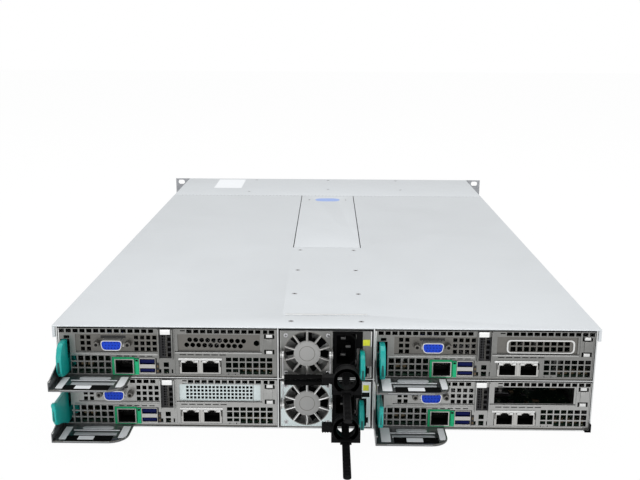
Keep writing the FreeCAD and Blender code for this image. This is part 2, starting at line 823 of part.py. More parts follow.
def module_ports(n):
    """Video, network, management and stacked serial connectors, seated on the board."""
    x, z = MODULES[n]
    body = new_body("module_ports_%d" % n, x, rear_y, z)
    body.AllowCompound = True
    face = s.face_in - s.port_proud
    mgmt_block_w = s.mgmt_w + 2 * s.jack_wall + s.mgmt_side
    for name, px, w in (("lan_block", s.lan_x, lan_block_w), ("mgmt_block", s.mgmt_x, mgmt_block_w)):
        block(body, name, (px - s.jack_wall, face, board_top), (w, s.jack_len, jack_h))
    for name, px, w in (("lan_a", s.lan_x, s.lan_w), ("lan_b", s.lan_x + s.lan_step, s.lan_w),
                        ("mgmt", s.mgmt_x, s.mgmt_w)):
        block(body, name, (px, face, s.lan_z), (w, s.jack_deep, s.lan_h), cut=True)
        block(body, name + "_key", (px + (w - s.key_w) / 2, face, s.lan_z + s.lan_h),
              (s.key_w, s.jack_deep, s.key_h / 2), cut=True)
    block(body, "usb_shell", (s.usb_x, face, board_top), (s.usb_w, s.usb_len, s.usb_h))
    mouth_z = board_top + s.usb_wall + (s.usb_h - s.usb_step - s.usb_mouth) / 2
    mouth_w = s.usb_w - 2 * s.usb_wall
    mouth = block(body, "usb_mouth", (s.usb_x + s.usb_wall, face, mouth_z),
                  (mouth_w, s.usb_deep, s.usb_mouth), cut=True)
    repeat(body, mouth, "Z", s.usb_step, USB_MOUTHS)
    tongue = block(body, "usb_tongue_bar", (s.usb_x + 2 * s.usb_wall, face + s.usb_wall,
                                            mouth_z + s.usb_mouth - s.usb_tongue - s.usb_wall),
                   (mouth_w - 2 * s.usb_wall, s.usb_deep, s.usb_tongue))
    repeat(body, tongue, "Z", s.usb_step, USB_MOUTHS)
    block(body, "vga_body", (s.vga_x - s.vga_body_w / 2, s.face_in + s.panel_t,
                             s.vga_z - s.vga_body_h / 2),
          (s.vga_body_w, s.vga_body_deep, s.vga_body_h))
    shell = new_sketch(body, "vga_shape", "XZ")
    half, low, top = s.vga_w / 2, s.vga_z - s.vga_h / 2, s.vga_z + s.vga_h / 2
    outline(shell, [(s.vga_x - half, top), (s.vga_x + half, top),
                    (s.vga_x + half - s.vga_skew, low), (s.vga_x - half + s.vga_skew, low)])
    pad(body, "vga_shell", shell, s.vga_out)
    pad(body, "vga_neck", shell, s.face_in + s.panel_t, backwards=True)
    for side, px in (("left", -s.jack_pitch / 2), ("right", s.jack_pitch / 2)):
        prism(body, side + "_jack", (s.vga_x + px, s.face_in - s.jack_out, s.vga_z), "y",
              s.jack_r, s.jack_out + s.panel_t, 6)
    return body


def module_latch(n):
    """Teal release lever on an upright pin behind the panel, with its catch tooth."""
    x, z = MODULES[n]
    body = new_body("module_latch_%d" % n, x, rear_y, z)
    low = s.latch_z
    behind = s.face_in + s.panel_t + s.run_gap
    side = new_sketch(body, "lever_shape", "YZ", s.latch_x)
    outline(side, [(s.latch_in, low), (s.latch_in, low + s.latch_arm_h),
                   (behind, low + s.latch_arm_h), (behind, low + s.latch_h),
                   (-s.latch_flat, low + s.latch_h), (-s.latch_out, low + s.latch_tip_h),
                   (-s.latch_out, low + s.latch_bow), (-s.latch_out + s.latch_bow, low)])
    pad(body, "lever", side, s.latch_t)
    centre = s.latch_x + s.latch_t / 2
    prism(body, "boss", (centre, s.latch_in, low), "z", s.latch_boss_r, s.latch_arm_h)
    block(body, "catch_tooth", (s.latch_x - s.tooth_out, s.tooth_y, low),
          (s.tooth_out, s.tooth_len, s.latch_arm_h))
    block(body, "finger_slot", (centre - s.latch_slot_w / 2, -s.latch_out, low + s.latch_bow),
          (s.latch_slot_w, s.latch_slot_deep, s.latch_slot_h), cut=True)
    prism(body, "pin_bore", (centre, s.latch_in, low), "z", s.latch_pin_r + s.fit_gap,
          s.latch_arm_h, cut=True, around=True)
    return body


def mainboard(n):
    """Circuit board on low spacers, with processor sockets and rows of memory."""
    x, z = MODULES[n]
    body = new_body("mainboard_%d" % n, x, rear_y, z)
    block(body, "board", (s.board_x, s.board_start, s.board_z), (s.board_w, s.board_len, s.board_t))
    spacer = block(body, "spacer", (s.board_x, s.board_start, s.tray_t),
                   (s.spacer_sq, s.spacer_sq, s.board_z - s.tray_t))
    repeat(body, spacer, "X", s.board_w - s.spacer_sq, 2, "Y", s.board_len - s.spacer_sq, 2)
    for side, px in (("left", s.dimm_x1), ("right", s.dimm_x2)):
        stick = block(body, side + "_memory", (s.board_x + px, s.dimm_y, board_top),
                      (s.dimm_t, s.dimm_len, s.dimm_h))
        repeat(body, stick, "X", s.dimm_pitch, STICKS_PER_SIDE, "Y", s.cpu_step, PROCESSORS)
    socket = block(body, "socket", (mod_w / 2 - s.sink_w / 2 + s.sink_gap, sink_y + s.sink_gap,
                                    board_top),
                   (s.sink_w - 2 * s.sink_gap, s.sink_len - 2 * s.sink_gap, s.sink_gap))
    repeat(body, socket, "Y", s.cpu_step, PROCESSORS)
    return body


def heat_sinks(n):
    """Two finned heat sinks seated on the processor sockets."""
    x, z = MODULES[n]
    body = new_body("heat_sinks_%d" % n, x, rear_y, z)
    body.AllowCompound = True
    low = board_top + s.sink_gap
    left = mod_w / 2 - s.sink_w / 2
    base = block(body, "base", (left, sink_y, low), (s.sink_w, s.sink_len, s.sink_base))
    repeat(body, base, "Y", s.cpu_step, PROCESSORS)
    fin = block(body, "fin", (left, sink_y, low), (s.fin_t, s.sink_len, s.sink_h))
    repeat(body, fin, "X", s.fin_pitch, FINS, "Y", s.cpu_step, PROCESSORS)
    return body


def module_fans(n):
    """Three square cooling fans at the drive end of a module."""
    x, z = MODULES[n]
    body = new_body("module_fans_%d" % n, x, rear_y, z)
    body.AllowCompound = True
    fan = block(body, "fan", (s.fan_x, s.fan_y, s.tray_t), (s.fan_sq, s.fan_len, s.fan_sq))
    repeat(body, fan, "X", s.fan_pitch, FANS_PER_MODULE)
    for name, size, cut in (("mouth", s.fan_mouth, True), ("hub", s.fan_hub, False)):
        inset = (s.fan_sq - size) / 2
        square = block(body, name, (s.fan_x + inset, s.fan_y, s.tray_t + inset),
                       (size, s.fan_mouth_deep, size), cut)
        repeat(body, square, "X", s.fan_pitch, FANS_PER_MODULE)
    return body


# ---------------------------------------------------------------- power supplies
def fan_centre_sketch(body, name):
    """A sketch whose origin is on the axis of a supply's fan."""
    sketch = new_sketch(body, name, "XZ")
    bind(sketch, "AttachmentOffset.Base.x", s.psu_fan_x)
    bind(sketch, "AttachmentOffset.Base.y", s.psu_fan_z)
    ring_line(sketch, 0, 0, s.shaft_r)
    return sketch


def psu_case(n):
    """Case of a supply: fan well behind a spoked guard, seats for inlet, latch and bail."""
    z = SUPPLIES[n]
    body = new_body("psu_case_%d" % n, psu_x, rear_y, z)
    face = s.psu_face_in
    block(body, "case", (0, face, 0), (s.psu_w, s.psu_len - face, s.psu_h))
    axis = (s.psu_fan_x, face, s.psu_fan_z)
    rod(body, "fan_well", axis, "y", s.well_r, s.well_deep, cut=True)
    spoke = block(body, "spoke", (s.psu_fan_x - s.spoke_w / 2, face,
                                  s.psu_fan_z + s.guard_disc - s.guard_t),
                  (s.spoke_w, s.guard_t, s.well_r - s.guard_disc + 2 * s.guard_t))
    spin(body, spoke, fan_centre_sketch(body, "guard_axis"), GUARD_SPOKES)
    rod(body, "guard_disc", axis, "y", s.guard_disc, s.guard_t)
    shaft_y = face + s.guard_t + s.rotor_gap / 2
    prism(body, "fan_shaft", (s.psu_fan_x, shaft_y, s.psu_fan_z), "y", s.shaft_r,
          face + s.well_deep - shaft_y)
    block(body, "inlet_seat", (s.inlet_x, face, s.inlet_z), (s.inlet_w, s.inlet_len, s.inlet_h),
          cut=True)
    block(body, "strap_seat", (inlet_mid - s.strap_w / 2, face, s.strap_z),
          (s.strap_w, s.strap_root, s.strap_t), cut=True)
    room_x = s.psu_latch_x - s.psu_latch_room
    room_end = s.psu_latch_in + s.latch_boss_r + s.run_gap
    block(body, "latch_room", (room_x, face, s.psu_latch_z - s.run_gap),
          (s.psu_latch_room + s.psu_latch_t + s.run_gap, room_end - face,
           s.psu_latch_h + 2 * s.run_gap), cut=True)
    prism(body, "latch_pin", (s.psu_latch_x + s.psu_latch_t / 2, s.psu_latch_in,
                              s.psu_latch_z - s.run_gap), "z",
          s.latch_pin_r, s.psu_latch_h + 2 * s.run_gap)
    prism(body, "tag_hole", (s.tag_hole_x, face, s.tag_hole_z), "y", s.tag_hole_r,
          s.tag_hole_deep, cut=True)
    for side, lug_x, pin_x in (("left", s.bail_x1 - s.run_gap - s.lug_t, s.bail_x1 - s.run_gap),
                               ("right", s.bail_x2 + s.bail_t + s.run_gap, s.bail_x2 - s.run_gap)):
        block(body, side + "_lug", (lug_x, -s.bail_out, s.bail_z - s.lug_h / 2),
              (s.lug_t, s.bail_out + face, s.lug_h))
        prism(body, side + "_lug_end", (lug_x, -s.bail_out, s.bail_z), "x", s.lug_h / 2, s.lug_t)
        prism(body, side + "_bail_pin", (pin_x, -s.bail_out, s.bail_z), "x", s.bail_pin,
              s.bail_t + 2 * s.run_gap)
    return body


def psu_fan(n):
    """Rotor of a supply's fan: a hub on the shaft with pitched blades."""
    body = new_body("psu_fan_%d" % n, psu_x, rear_y, SUPPLIES[n])
    start = s.psu_face_in + s.guard_t + s.rotor_gap
    prism(body, "hub", (s.psu_fan_x, start, s.psu_fan_z), "y", s.rotor_hub, s.rotor_len, 14)
    blade = body.newObject("PartDesign::AdditiveBox", "blade")
    bind(blade, "Length", s.blade_t)
    bind(blade, "Width", s.rotor_len - 2 * s.rotor_gap)
    bind(blade, "Height", s.rotor_r - s.rotor_hub + s.rotor_gap)
    blade.Placement = FreeCAD.Placement(Vector(0, 0, 0), FreeCAD.Rotation(Vector(0, 0, 1), 1))
    bind(blade, "Placement.Rotation.Angle", s.blade_twist)
    bind(blade, "Placement.Base.x", s.psu_fan_x + s.rotor_len / 4)
    bind(blade, "Placement.Base.y", start + s.rotor_gap)
    bind(blade, "Placement.Base.z", s.psu_fan_z + s.rotor_hub - s.rotor_gap)
    spin(body, blade, fan_centre_sketch(body, "rotor_axis"), ROTOR_BLADES)
    prism(body, "shaft_bore", (s.psu_fan_x, start, s.psu_fan_z), "y", s.shaft_r + s.fit_gap,
          s.rotor_len, cut=True, around=True)
    return body


def psu_inlet(n):
    """Appliance inlet: a deep mouth with two cut corners and three blades."""
    body = new_body("psu_inlet_%d" % n, psu_x, rear_y, SUPPLIES[n])
    face = s.psu_face_in - s.inlet_proud
    block(body, "housing", (s.inlet_x, face, s.inlet_z),
          (s.inlet_w, s.inlet_len + s.inlet_proud, s.inlet_h))
    mouth = new_sketch(body, "mouth_shape", "XZ", -face)
    half_w, half_h = s.mouth_w / 2, s.mouth_h / 2
    mid_z = s.inlet_z + s.inlet_h / 2
    left, right = inlet_mid - half_w, inlet_mid + half_w
    low, top = mid_z - half_h, mid_z + half_h
    outline(mouth, [(left, low), (right - s.mouth_cut, low), (right, low + s.mouth_cut),
                    (right, top - s.mouth_cut), (right - s.mouth_cut, top), (left, top)])
    pocket(body, "mouth", mouth, s.mouth_deep)
    back = face + s.mouth_deep
    for name, dx, dz in (("low_pin", -s.pin_off, -s.pin_step), ("mid_pin", s.pin_off, as_size(0)),
                         ("top_pin", -s.pin_off, s.pin_step)):
        block(body, name, (inlet_mid + dx - s.pin_w / 2, back - s.pin_len,
                           mid_z + dz - s.pin_t / 2),
              (s.pin_w, s.pin_len, s.pin_t))
    return body


def psu_latch(n):
    """Release lever of a supply, pressed towards the inlet."""
    body = new_body("psu_latch_%d" % n, psu_x, rear_y, SUPPLIES[n])
    low = s.psu_latch_z
    side = new_sketch(body, "lever_shape", "YZ", s.psu_latch_x)
    outline(side, [(s.psu_latch_in, low), (s.psu_latch_in, low + s.psu_latch_h),
                   (-s.latch_flat, low + s.psu_latch_h), (-s.psu_latch_out, low + s.psu_latch_tip),
                   (-s.psu_latch_out, low + s.latch_bow), (-s.psu_latch_out + s.latch_bow, low)])
    pad(body, "lever", side, s.psu_latch_t)
    centre = s.psu_latch_x + s.psu_latch_t / 2
    prism(body, "boss", (centre, s.psu_latch_in, low), "z", s.latch_boss_r, s.psu_latch_h)
    block(body, "finger_slot", (centre - s.latch_slot_w / 2, -s.psu_latch_out, low + s.latch_bow),
          (s.latch_slot_w, s.latch_slot_deep, s.latch_slot_h - s.tray_t), cut=True)
    prism(body, "pin_bore", (centre, s.psu_latch_in, low), "z", s.latch_pin_r + s.fit_gap,
          s.psu_latch_h, cut=True, around=True)
    return body


def psu_bail(n):
    """Swinging handle: the lower one stands up against its face, the upper one hangs."""
    body = new_body("psu_bail_%d" % n, psu_x, rear_y, SUPPLIES[n])
    up = n == 1
    end_z = s.bail_z + s.bail_arm if up else s.bail_z - s.bail_arm
    end_y = -s.bail_out + s.bail_lean if up else -s.bail_out
    bar_w = s.bail_x2 + s.bail_t - s.bail_x1
    prism(body, "grip_bar", (s.bail_x1, end_y, end_z), "x", s.grip_bar_r, bar_w, 16)
    half = s.bail_arm_w / 2
    for side, arm_x in (("left", s.bail_x1), ("right", s.bail_x2)):
        prism(body, side + "_eye", (arm_x, -s.bail_out, s.bail_z), "x", s.bail_eye, s.bail_t)
        arm = new_sketch(body, side + "_arm_shape", "YZ", arm_x)
        outline(arm, [(-s.bail_out - half, s.bail_z), (-s.bail_out + half, s.bail_z),
                      (end_y + half, end_z), (end_y - half, end_z)])
        pad(body, side + "_arm", arm, s.bail_t)
    prism(body, "pin_bore", (s.bail_x1, -s.bail_out, s.bail_z), "x", s.bail_pin + s.fit_gap,
          bar_w, cut=True, around=True)


def cord_strap(n):
    """Flat ladder strap that holds the cord clamp, with a rounded tip."""
    body = new_body("cord_strap_%d" % n, psu_x, rear_y, SUPPLIES[n])
    left = inlet_mid - s.strap_w / 2
    root = s.psu_face_in + s.strap_root
    block(body, "strap", (left, -s.strap_out, s.strap_z), (s.strap_w, s.strap_out + root, s.strap_t))
    rod(body, "tip", (inlet_mid, -s.strap_out, s.strap_z), "z", s.strap_w / 2, s.strap_t)
    return body


def cord_clamp(n):
    """Ring clamp that slides on the strap: broad base, ring, collar and release tab."""
    body = new_body("cord_clamp_%d" % n, psu_x, rear_y, SUPPLIES[n])
    near = -s.clamp_at - s.clamp_len
    base_z = s.strap_z + s.strap_t / 2 - s.clamp_base_h / 2
    ring_z = base_z + s.clamp_base_h + s.ring_in
    block(body, "base", (inlet_mid - s.clamp_base_w / 2, near, base_z),
          (s.clamp_base_w, s.clamp_len, s.clamp_base_h))
    prism(body, "ring", (inlet_mid, near, ring_z), "y", s.ring_out, s.clamp_len, 32)
    block(body, "collar", (inlet_mid - s.collar_w / 2, near - s.collar_len, base_z),
          (s.collar_w, s.collar_len, s.collar_h))
    block(body, "tab", (inlet_mid - s.ring_out - s.clamp_tab + s.tab_lap, near,
                        base_z + s.clamp_base_h - s.clamp_tab_h),
          (s.clamp_tab, s.clamp_len, s.clamp_tab_h))
    prism(body, "ring_bore", (inlet_mid, near, ring_z), "y", s.ring_in, s.clamp_len, 32, cut=True)
    gap = s.run_gap
    block(body, "strap_way", (inlet_mid - s.strap_w / 2 - gap, near - s.collar_len, s.strap_z - gap),
          (s.strap_w + 2 * gap, s.clamp_len + s.collar_len, s.strap_t + 2 * gap), cut=True)
    return body


# ---------------------------------------------------------------- drive end
def backplane():
    """Upright board between the modules and the drives, with its power sockets."""
    body = new_body("backplane", y=rear_y)
    width = 2 * (inner_x - s.run_gap)
    block(body, "board", (-inner_x + s.run_gap, s.back_y, s.sheet),
          (width, s.back_t, cover_under - s.sheet - s.run_gap))
    for n, (x, z) in MODULES.items():
        block(body, "socket_%d" % n, (x + mod_w / 2 - s.socket_w / 2, s.back_y - s.socket_deep,
                                      z + s.socket_z),
              (s.socket_w, s.socket_deep, s.socket_h))


def power_board():
    """Board that the supplies plug into, with two bus bars to the backplane."""
    body = new_body("power_board", y=rear_y)
    block(body, "board", (-s.divider_x + s.run_gap, s.pdb_y, s.sheet),
          (2 * s.divider_x - 2 * s.run_gap, s.pdb_t, s.pdb_h))
    for n, z in SUPPLIES.items():
        block(body, "socket_%d" % n, (-s.pdb_socket_w / 2, s.psu_len + s.run_gap,
                                      z + s.psu_h / 2 - s.pdb_socket_h / 2),
              (s.pdb_socket_w, s.pdb_y - s.psu_len - s.run_gap, s.pdb_socket_h))
    for side, x in (("left", -s.bar_x - s.bar_t), ("right", s.bar_x)):
        block(body, side + "_bar", (x, s.pdb_y + s.pdb_t, s.pdb_h / 2),
              (s.bar_t, s.back_y - s.pdb_y - s.pdb_t, s.bar_w))


def drive_cage():
    """Cage with a thin rib between each pair of drives."""
    body = new_body("drive_cage", y=rear_y)
    width = DRIVES * s.bay_pitch + s.cage_rib
    low = s.sheet
    tall = cover_under - s.sheet
    length = s.body_len - s.cage_y
    block(body, "cage_floor", (-width / 2, s.cage_y, low), (width, length, s.cage_t))
    block(body, "cage_roof", (-width / 2, s.cage_y, cover_under - s.cage_t), (width, length, s.cage_t))
    rib = block(body, "rib", (-width / 2, s.cage_y, low), (s.cage_rib, length, tall))
    repeat(body, rib, "X", s.bay_pitch, DRIVES + 1)


def drive_carriers():
    """Twenty-four upright drives, each in a carrier with a bowed front lever."""
    body = new_body("drive_carriers", y=rear_y)
    body.AllowCompound = True
    first = (1 - DRIVES) * s.bay_pitch / 2
    mid_z = (s.sheet + cover_under) / 2
    low = mid_z - s.bezel_h / 2
    drive = block(body, "drive", (first - s.drive_w / 2, s.body_len - s.drive_len,
                                  mid_z - s.drive_h / 2),
                  (s.drive_w, s.drive_len + s.run_gap, s.drive_h))
    bezel = block(body, "bezel", (first - s.bezel_w / 2, s.body_len + s.run_gap, low),
                  (s.bezel_w, s.bezel_out, s.bezel_h))
    lever = block(body, "lever", (first - s.lever_w / 2, s.body_len + s.run_gap + s.bezel_out,
                                  low + s.release_h),
                  (s.lever_w, s.lever_bow, s.lever_h))
    for feature in (drive, bezel, lever):
        repeat(body, feature, "X", s.bay_pitch, DRIVES)


def rack_ear(side):
    """Bracket with a slotted flange, a side plate and the pod that carries two buttons."""
    body = new_body("rack_ear_" + side, y=rear_y)
    sign = -1 if side == "left" else 1
    reach = (s.ear_w - s.body_w) / 2
    flange_y = s.body_len - s.ear_t

    def from_wall(name, inner, size, y, z, deep, tall, cut=False):
        x = wall_x + inner if sign > 0 else -wall_x - inner - size
        return block(body, name, (x, y, z), (size, deep, tall), cut)

    from_wall("flange", as_size(0), reach, flange_y, s.ear_z, s.ear_t, s.ear_h)
    from_wall("side_plate", as_size(0), s.ear_side_t, s.body_len - s.ear_side_len, s.ear_side_z,
              s.ear_side_len, s.ear_side_h)
    from_wall("pod", as_size(0), s.pod_w, s.body_len, s.pod_z, s.pod_out, s.pod_h)
    pod_x = sign * (wall_x + s.pod_w)
    round_edges(body, "pod_round_corner", s.pod_round,
                upright_edge_at(pod_x, s.body_len + s.pod_out))
    slot_from = s.hole_x / 2 - wall_x - s.ear_slot_len / 2
    for name, z in (("low", s.hole_z), ("top", s.hole_z + s.hole_rise)):
        flat = s.ear_slot_len - s.ear_slot_w
        from_wall(name + "_slot", slot_from + s.ear_slot_w / 2, flat, flange_y,
                  z - s.ear_slot_w / 2, s.ear_t, s.ear_slot_w, cut=True)
        for end, dx in (("in", -flat / 2), ("out", flat / 2)):
            rod(body, name + "_slot_" + end, (sign * (s.hole_x / 2 + dx), flange_y, z), "y",
                s.ear_slot_w / 2, s.ear_t, cut=True)
    knob_y = s.body_len + s.pod_out - knob_well
    for name, z in (("low", s.knob_z1), ("top", s.knob_z2)):
        from_wall(name + "_button_well", (s.pod_w - s.knob_w) / 2 - s.run_gap,
                  s.knob_w + 2 * s.run_gap, knob_y, s.pod_z + z - s.knob_h / 2 - s.run_gap,
                  knob_well, s.knob_h + 2 * s.run_gap, cut=True)


def power_button(n):
    """Push button in a pod: 1 and 2 on the left ear, 3 and 4 on the right."""
    body = new_body("power_button_%d" % n, y=rear_y)
    sign = -1 if n < 3 else 1
    z = s.pod_z + (s.knob_z1 if n in (1, 3) else s.knob_z2)
    start = s.body_len + s.pod_out + s.knob_proud - s.knob_len
    block(body, "button", (sign * (wall_x + s.pod_w / 2) - s.knob_w / 2, start, z - s.knob_h / 2),
          (s.knob_w, s.knob_len, s.knob_h))




# ---------------------------------------------------------------- build
chassis_pan()
bay_frame()
rear_cover()
front_cover()
middle_cover()
for make in (module_tray, module_panel, module_ports, module_latch, mainboard, heat_sinks,
             module_fans):
    first = make(1)
    doc.recompute()
    for number in (2, 3, 4):
        left, floor = MODULES[number]
        copy_body(first, "%s_%d" % (make.__name__, number), left, rear_y, floor)
for number in (1, 2, 4):
    slot_cover(number)
for make in (psu_case, psu_fan, psu_inlet, psu_latch, cord_strap, cord_clamp):
    first = make(1)
    doc.recompute()
    copy_body(first, "%s_2" % make.__name__, psu_x, rear_y, SUPPLIES[2])
for number in SUPPLIES:
    psu_bail(number)
backplane()
power_board()
drive_cage()
drive_carriers()
rack_ear("left")
rack_ear("right")
for number in (1, 2, 3, 4):
    power_button(number)

doc.recompute()

for item in doc.Objects:
    broken = [word for word in item.State if word in ("Invalid", "Error")]
    if broken:
        raise RuntimeError("%s did not build: %s" % (item.Label, broken))
for node in nodes:
    if node.Shape.isNull() or not node.Shape.isValid():
        raise RuntimeError("%s has no valid shape" % node.Label)

os.makedirs("parts", exist_ok=True)
for node in nodes:
    node.Shape.exportStep("parts/%s.step" % node.Label)
print(len(nodes), "sub-parts")
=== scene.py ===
"""Dresses a packed two-unit rack server with four sliding modules, and sets up its studio."""

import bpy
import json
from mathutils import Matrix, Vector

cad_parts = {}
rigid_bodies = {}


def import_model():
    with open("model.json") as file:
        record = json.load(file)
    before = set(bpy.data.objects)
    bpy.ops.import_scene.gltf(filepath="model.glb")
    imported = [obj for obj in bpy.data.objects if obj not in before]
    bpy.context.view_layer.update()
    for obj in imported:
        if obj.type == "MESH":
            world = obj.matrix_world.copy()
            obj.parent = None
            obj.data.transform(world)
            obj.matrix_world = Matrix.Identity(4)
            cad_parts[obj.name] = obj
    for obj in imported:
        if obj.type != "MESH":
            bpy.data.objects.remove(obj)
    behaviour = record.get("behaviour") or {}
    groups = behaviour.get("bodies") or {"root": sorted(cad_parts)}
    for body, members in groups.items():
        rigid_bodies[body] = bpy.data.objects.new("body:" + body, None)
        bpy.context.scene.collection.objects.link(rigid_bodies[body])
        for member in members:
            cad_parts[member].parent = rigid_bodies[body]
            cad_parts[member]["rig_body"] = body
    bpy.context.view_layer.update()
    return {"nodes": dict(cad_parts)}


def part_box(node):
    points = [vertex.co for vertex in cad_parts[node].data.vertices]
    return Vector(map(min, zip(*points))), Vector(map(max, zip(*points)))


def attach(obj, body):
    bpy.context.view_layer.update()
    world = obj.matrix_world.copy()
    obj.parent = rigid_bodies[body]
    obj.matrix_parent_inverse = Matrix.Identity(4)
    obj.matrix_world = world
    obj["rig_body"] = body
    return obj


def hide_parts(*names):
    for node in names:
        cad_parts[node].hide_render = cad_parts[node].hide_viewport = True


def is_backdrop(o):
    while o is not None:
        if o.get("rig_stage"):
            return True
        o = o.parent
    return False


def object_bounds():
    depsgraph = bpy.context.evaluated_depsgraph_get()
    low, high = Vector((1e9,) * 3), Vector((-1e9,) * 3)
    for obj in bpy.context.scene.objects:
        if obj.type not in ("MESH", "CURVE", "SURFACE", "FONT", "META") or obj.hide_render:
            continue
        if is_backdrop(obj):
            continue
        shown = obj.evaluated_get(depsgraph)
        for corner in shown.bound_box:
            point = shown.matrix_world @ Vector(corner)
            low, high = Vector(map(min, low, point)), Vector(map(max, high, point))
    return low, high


bl_info = {
    "name": "Rack Server Dressing",
    "version": (1, 0, 0),
    "blender": (4, 5, 0),
    "location": "View3D > Sidebar > Server",
    "description": "Finishes and small parts for a two-unit rack server with four modules",
    "category": "Object",
}

import json
import math
import random

import bmesh
import bpy
from bpy.props import FloatProperty, FloatVectorProperty, PointerProperty
from mathutils import Matrix, Vector

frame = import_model()

MM = 0.001
MODULES = (1, 2, 3, 4)
SUPPLIES = (1, 2)


# ------------------------------------------------------------------ sizes and colours
def length(name, description, default):
    return FloatProperty(name=name, description=description, default=default, min=0.0,
                         unit="LENGTH", precision=5)


def colour(name, description, default):
    return FloatVectorProperty(name=name, description=description, default=default, size=3,
                               subtype="COLOR", min=0.0, max=1.0)


class ServerSizes(bpy.types.PropertyGroup):
    # The edge mask of this width lightens metal edges: partly rubbed wear, partly a painted highlight along
    # the edges.
    sheet_edge: length("Sheet edge", "Width of the wear along cut sheet edges", 0.0006)
    moulded_edge: length("Moulded edge", "Radius on the edges of moulded plastic parts", 0.0009)
    cover_lip: length("Cover lip", "Radius of the rolled rear edge of the cover", 0.0011)
    screw_head: length("Screw head", "Radius of the countersunk cover screws", 0.0023)
    label: length("Label", "Thickness of a paper label", 0.00005)
    tooth_pitch: length("Strap tooth pitch", "Distance from tooth to tooth of the cord strap", 0.0021)


class ServerColours(bpy.types.PropertyGroup):
    cover: colour("Cover", "Coated sheet of the covers", (0.575, 0.60, 0.62))
    zinc: colour("Zinc", "Galvanized sheet of the body", (0.56, 0.57, 0.57))
    panel: colour("Panel", "Rear faces of modules and supplies", (0.355, 0.357, 0.35))
    # Upper colour: the panel tone darkened as painted shade for the upper modules and the upper supply.
    upper: colour("Upper panel", "Greyer rear faces of the upper modules", (0.212, 0.213, 0.206))
    # Recess colour: a dark plate for many small parts, and painted shade on the sunk plate of the upper
    # modules.
    recess: colour("Recess", "Darker pressed area around the video socket", (0.15, 0.145, 0.135))
    bright: colour("Bright", "Nickel-plated small sheet parts", (0.66, 0.665, 0.66))
    teal: colour("Lever", "Moulded release levers", (0.004, 0.33, 0.30))
    video: colour("Video", "Insert of the video socket", (0.003, 0.045, 0.50))
    serial: colour("Serial", "Tongues of the stacked sockets", (0.001, 0.004, 0.055))
    jack: colour("Jack", "Surround of the management socket", (0.01, 0.27, 0.11))
    tag: colour("Tag", "Small coloured tags beside the inlets", (0.60, 0.62, 0.03))
    label: colour("Label", "Bare paper labels", (0.74, 0.76, 0.78))
    mark: colour("Mark", "Touch mark on the middle cover", (0.26, 0.36, 0.66))
    # Board colour: the solder mask darkened as painted shade, since the boards sit in shade inside the
    # body.
    board: colour("Board", "Solder mask of the circuit boards", (0.005, 0.02, 0.011))


class StudioSettings(bpy.types.PropertyGroup):
    lens: FloatProperty(name="Lens", description="Focal length in millimetres", default=48.6,
                        min=10.0, max=200.0)
    distance: length("Distance", "From the rear face to the camera", 0.6512)
    height: length("Height", "Height of the camera over the floor", 0.31696)
    aside: FloatProperty(name="Aside", description="Sideways place of the camera",
                         default=0.00076, unit="LENGTH", precision=5)
    pitch: FloatProperty(name="Pitch", description="How far the camera looks down",
                         default=0.2379, unit="ROTATION", precision=4)
    yaw: FloatProperty(name="Yaw", description="Turn of the camera to the left", default=0.0092,
                       unit="ROTATION", precision=4)
    roll: FloatProperty(name="Roll", description="Tilt of the camera", default=-0.0053,
                        unit="ROTATION", precision=4)
    room_light: FloatProperty(name="Room light", description="Strength of the even room light",
                              default=0.62, min=0.0, max=2.0)
    floor: colour("Floor", "Pale floor under the server", (0.92, 0.92, 0.92))


# ------------------------------------------------------------------ forms
class Form:
    """One closed form: its points in millimetres and its faces."""

    def __init__(self, points, faces):
        self.points = [Vector(point) for point in points]
        self.faces = [tuple(face) for face in faces]


def from_mesh(mesh, bevel=0.0, segments=2, sharp=math.radians(25)):
    """A form from a bmesh, with its sharp edges rounded first."""
    bmesh.ops.recalc_face_normals(mesh, faces=mesh.faces[:])
    if bevel > 0:
        edges = [edge for edge in mesh.edges
                 if len(edge.link_faces) == 2 and edge.calc_face_angle() > sharp]
        bmesh.ops.bevel(mesh, geom=edges, offset=bevel, segments=segments, profile=0.6,
                        affect="EDGES", clamp_overlap=True)
    mesh.verts.ensure_lookup_table()
    mesh.verts.index_update()
    form = Form([vert.co.copy() for vert in mesh.verts],
                [[vert.index for vert in face.verts] for face in mesh.faces])
    mesh.free()
    return form


def block(low, high, bevel=0.0, segments=2):
    """A box between two corners."""
    low, high = Vector(low), Vector(high)
    mesh = bmesh.new()
    bmesh.ops.create_cube(mesh, size=1.0)
    for vert in mesh.verts:
        for axis in range(3):
            vert.co[axis] = (low[axis] + high[axis]) / 2 + vert.co[axis] * (high[axis] - low[axis])
    return from_mesh(mesh, bevel, segments)


def rod(start, end, radius, sides=24, bevel=0.0, end_radius=None):
    """A cylinder or cone between two points."""
    start, end = Vector(start), Vector(end)
    along = end - start
    mesh = bmesh.new()
    bmesh.ops.create_cone(mesh, cap_ends=True, segments=sides, radius1=radius,
                          radius2=radius if end_radius is None else end_radius,
                          depth=along.length)
    turn = Vector((0, 0, 1)).rotation_difference(along).to_matrix().to_4x4()
    bmesh.ops.transform(mesh, matrix=Matrix.Translation((start + end) / 2) @ turn,
                        verts=mesh.verts[:])
    return from_mesh(mesh, bevel)


def extruded(outline, axis, start, end, bevel=0.0, segments=2):
    """An outline of (a, b) pairs pushed along an axis: x takes (y, z), y takes (x, z), z (x, y)."""
    def place(a, b, c):
        return {"x": (c, a, b), "y": (a, c, b), "z": (a, b, c)}[axis]

    mesh = bmesh.new()
    low = [mesh.verts.new(place(a, b, start)) for a, b in outline]
    high = [mesh.verts.new(place(a, b, end)) for a, b in outline]
    mesh.faces.new(low)
    mesh.faces.new(high)
    count = len(outline)
    for i in range(count):
        mesh.faces.new((low[i], low[(i + 1) % count], high[(i + 1) % count], high[i]))
    return from_mesh(mesh, bevel, segments)


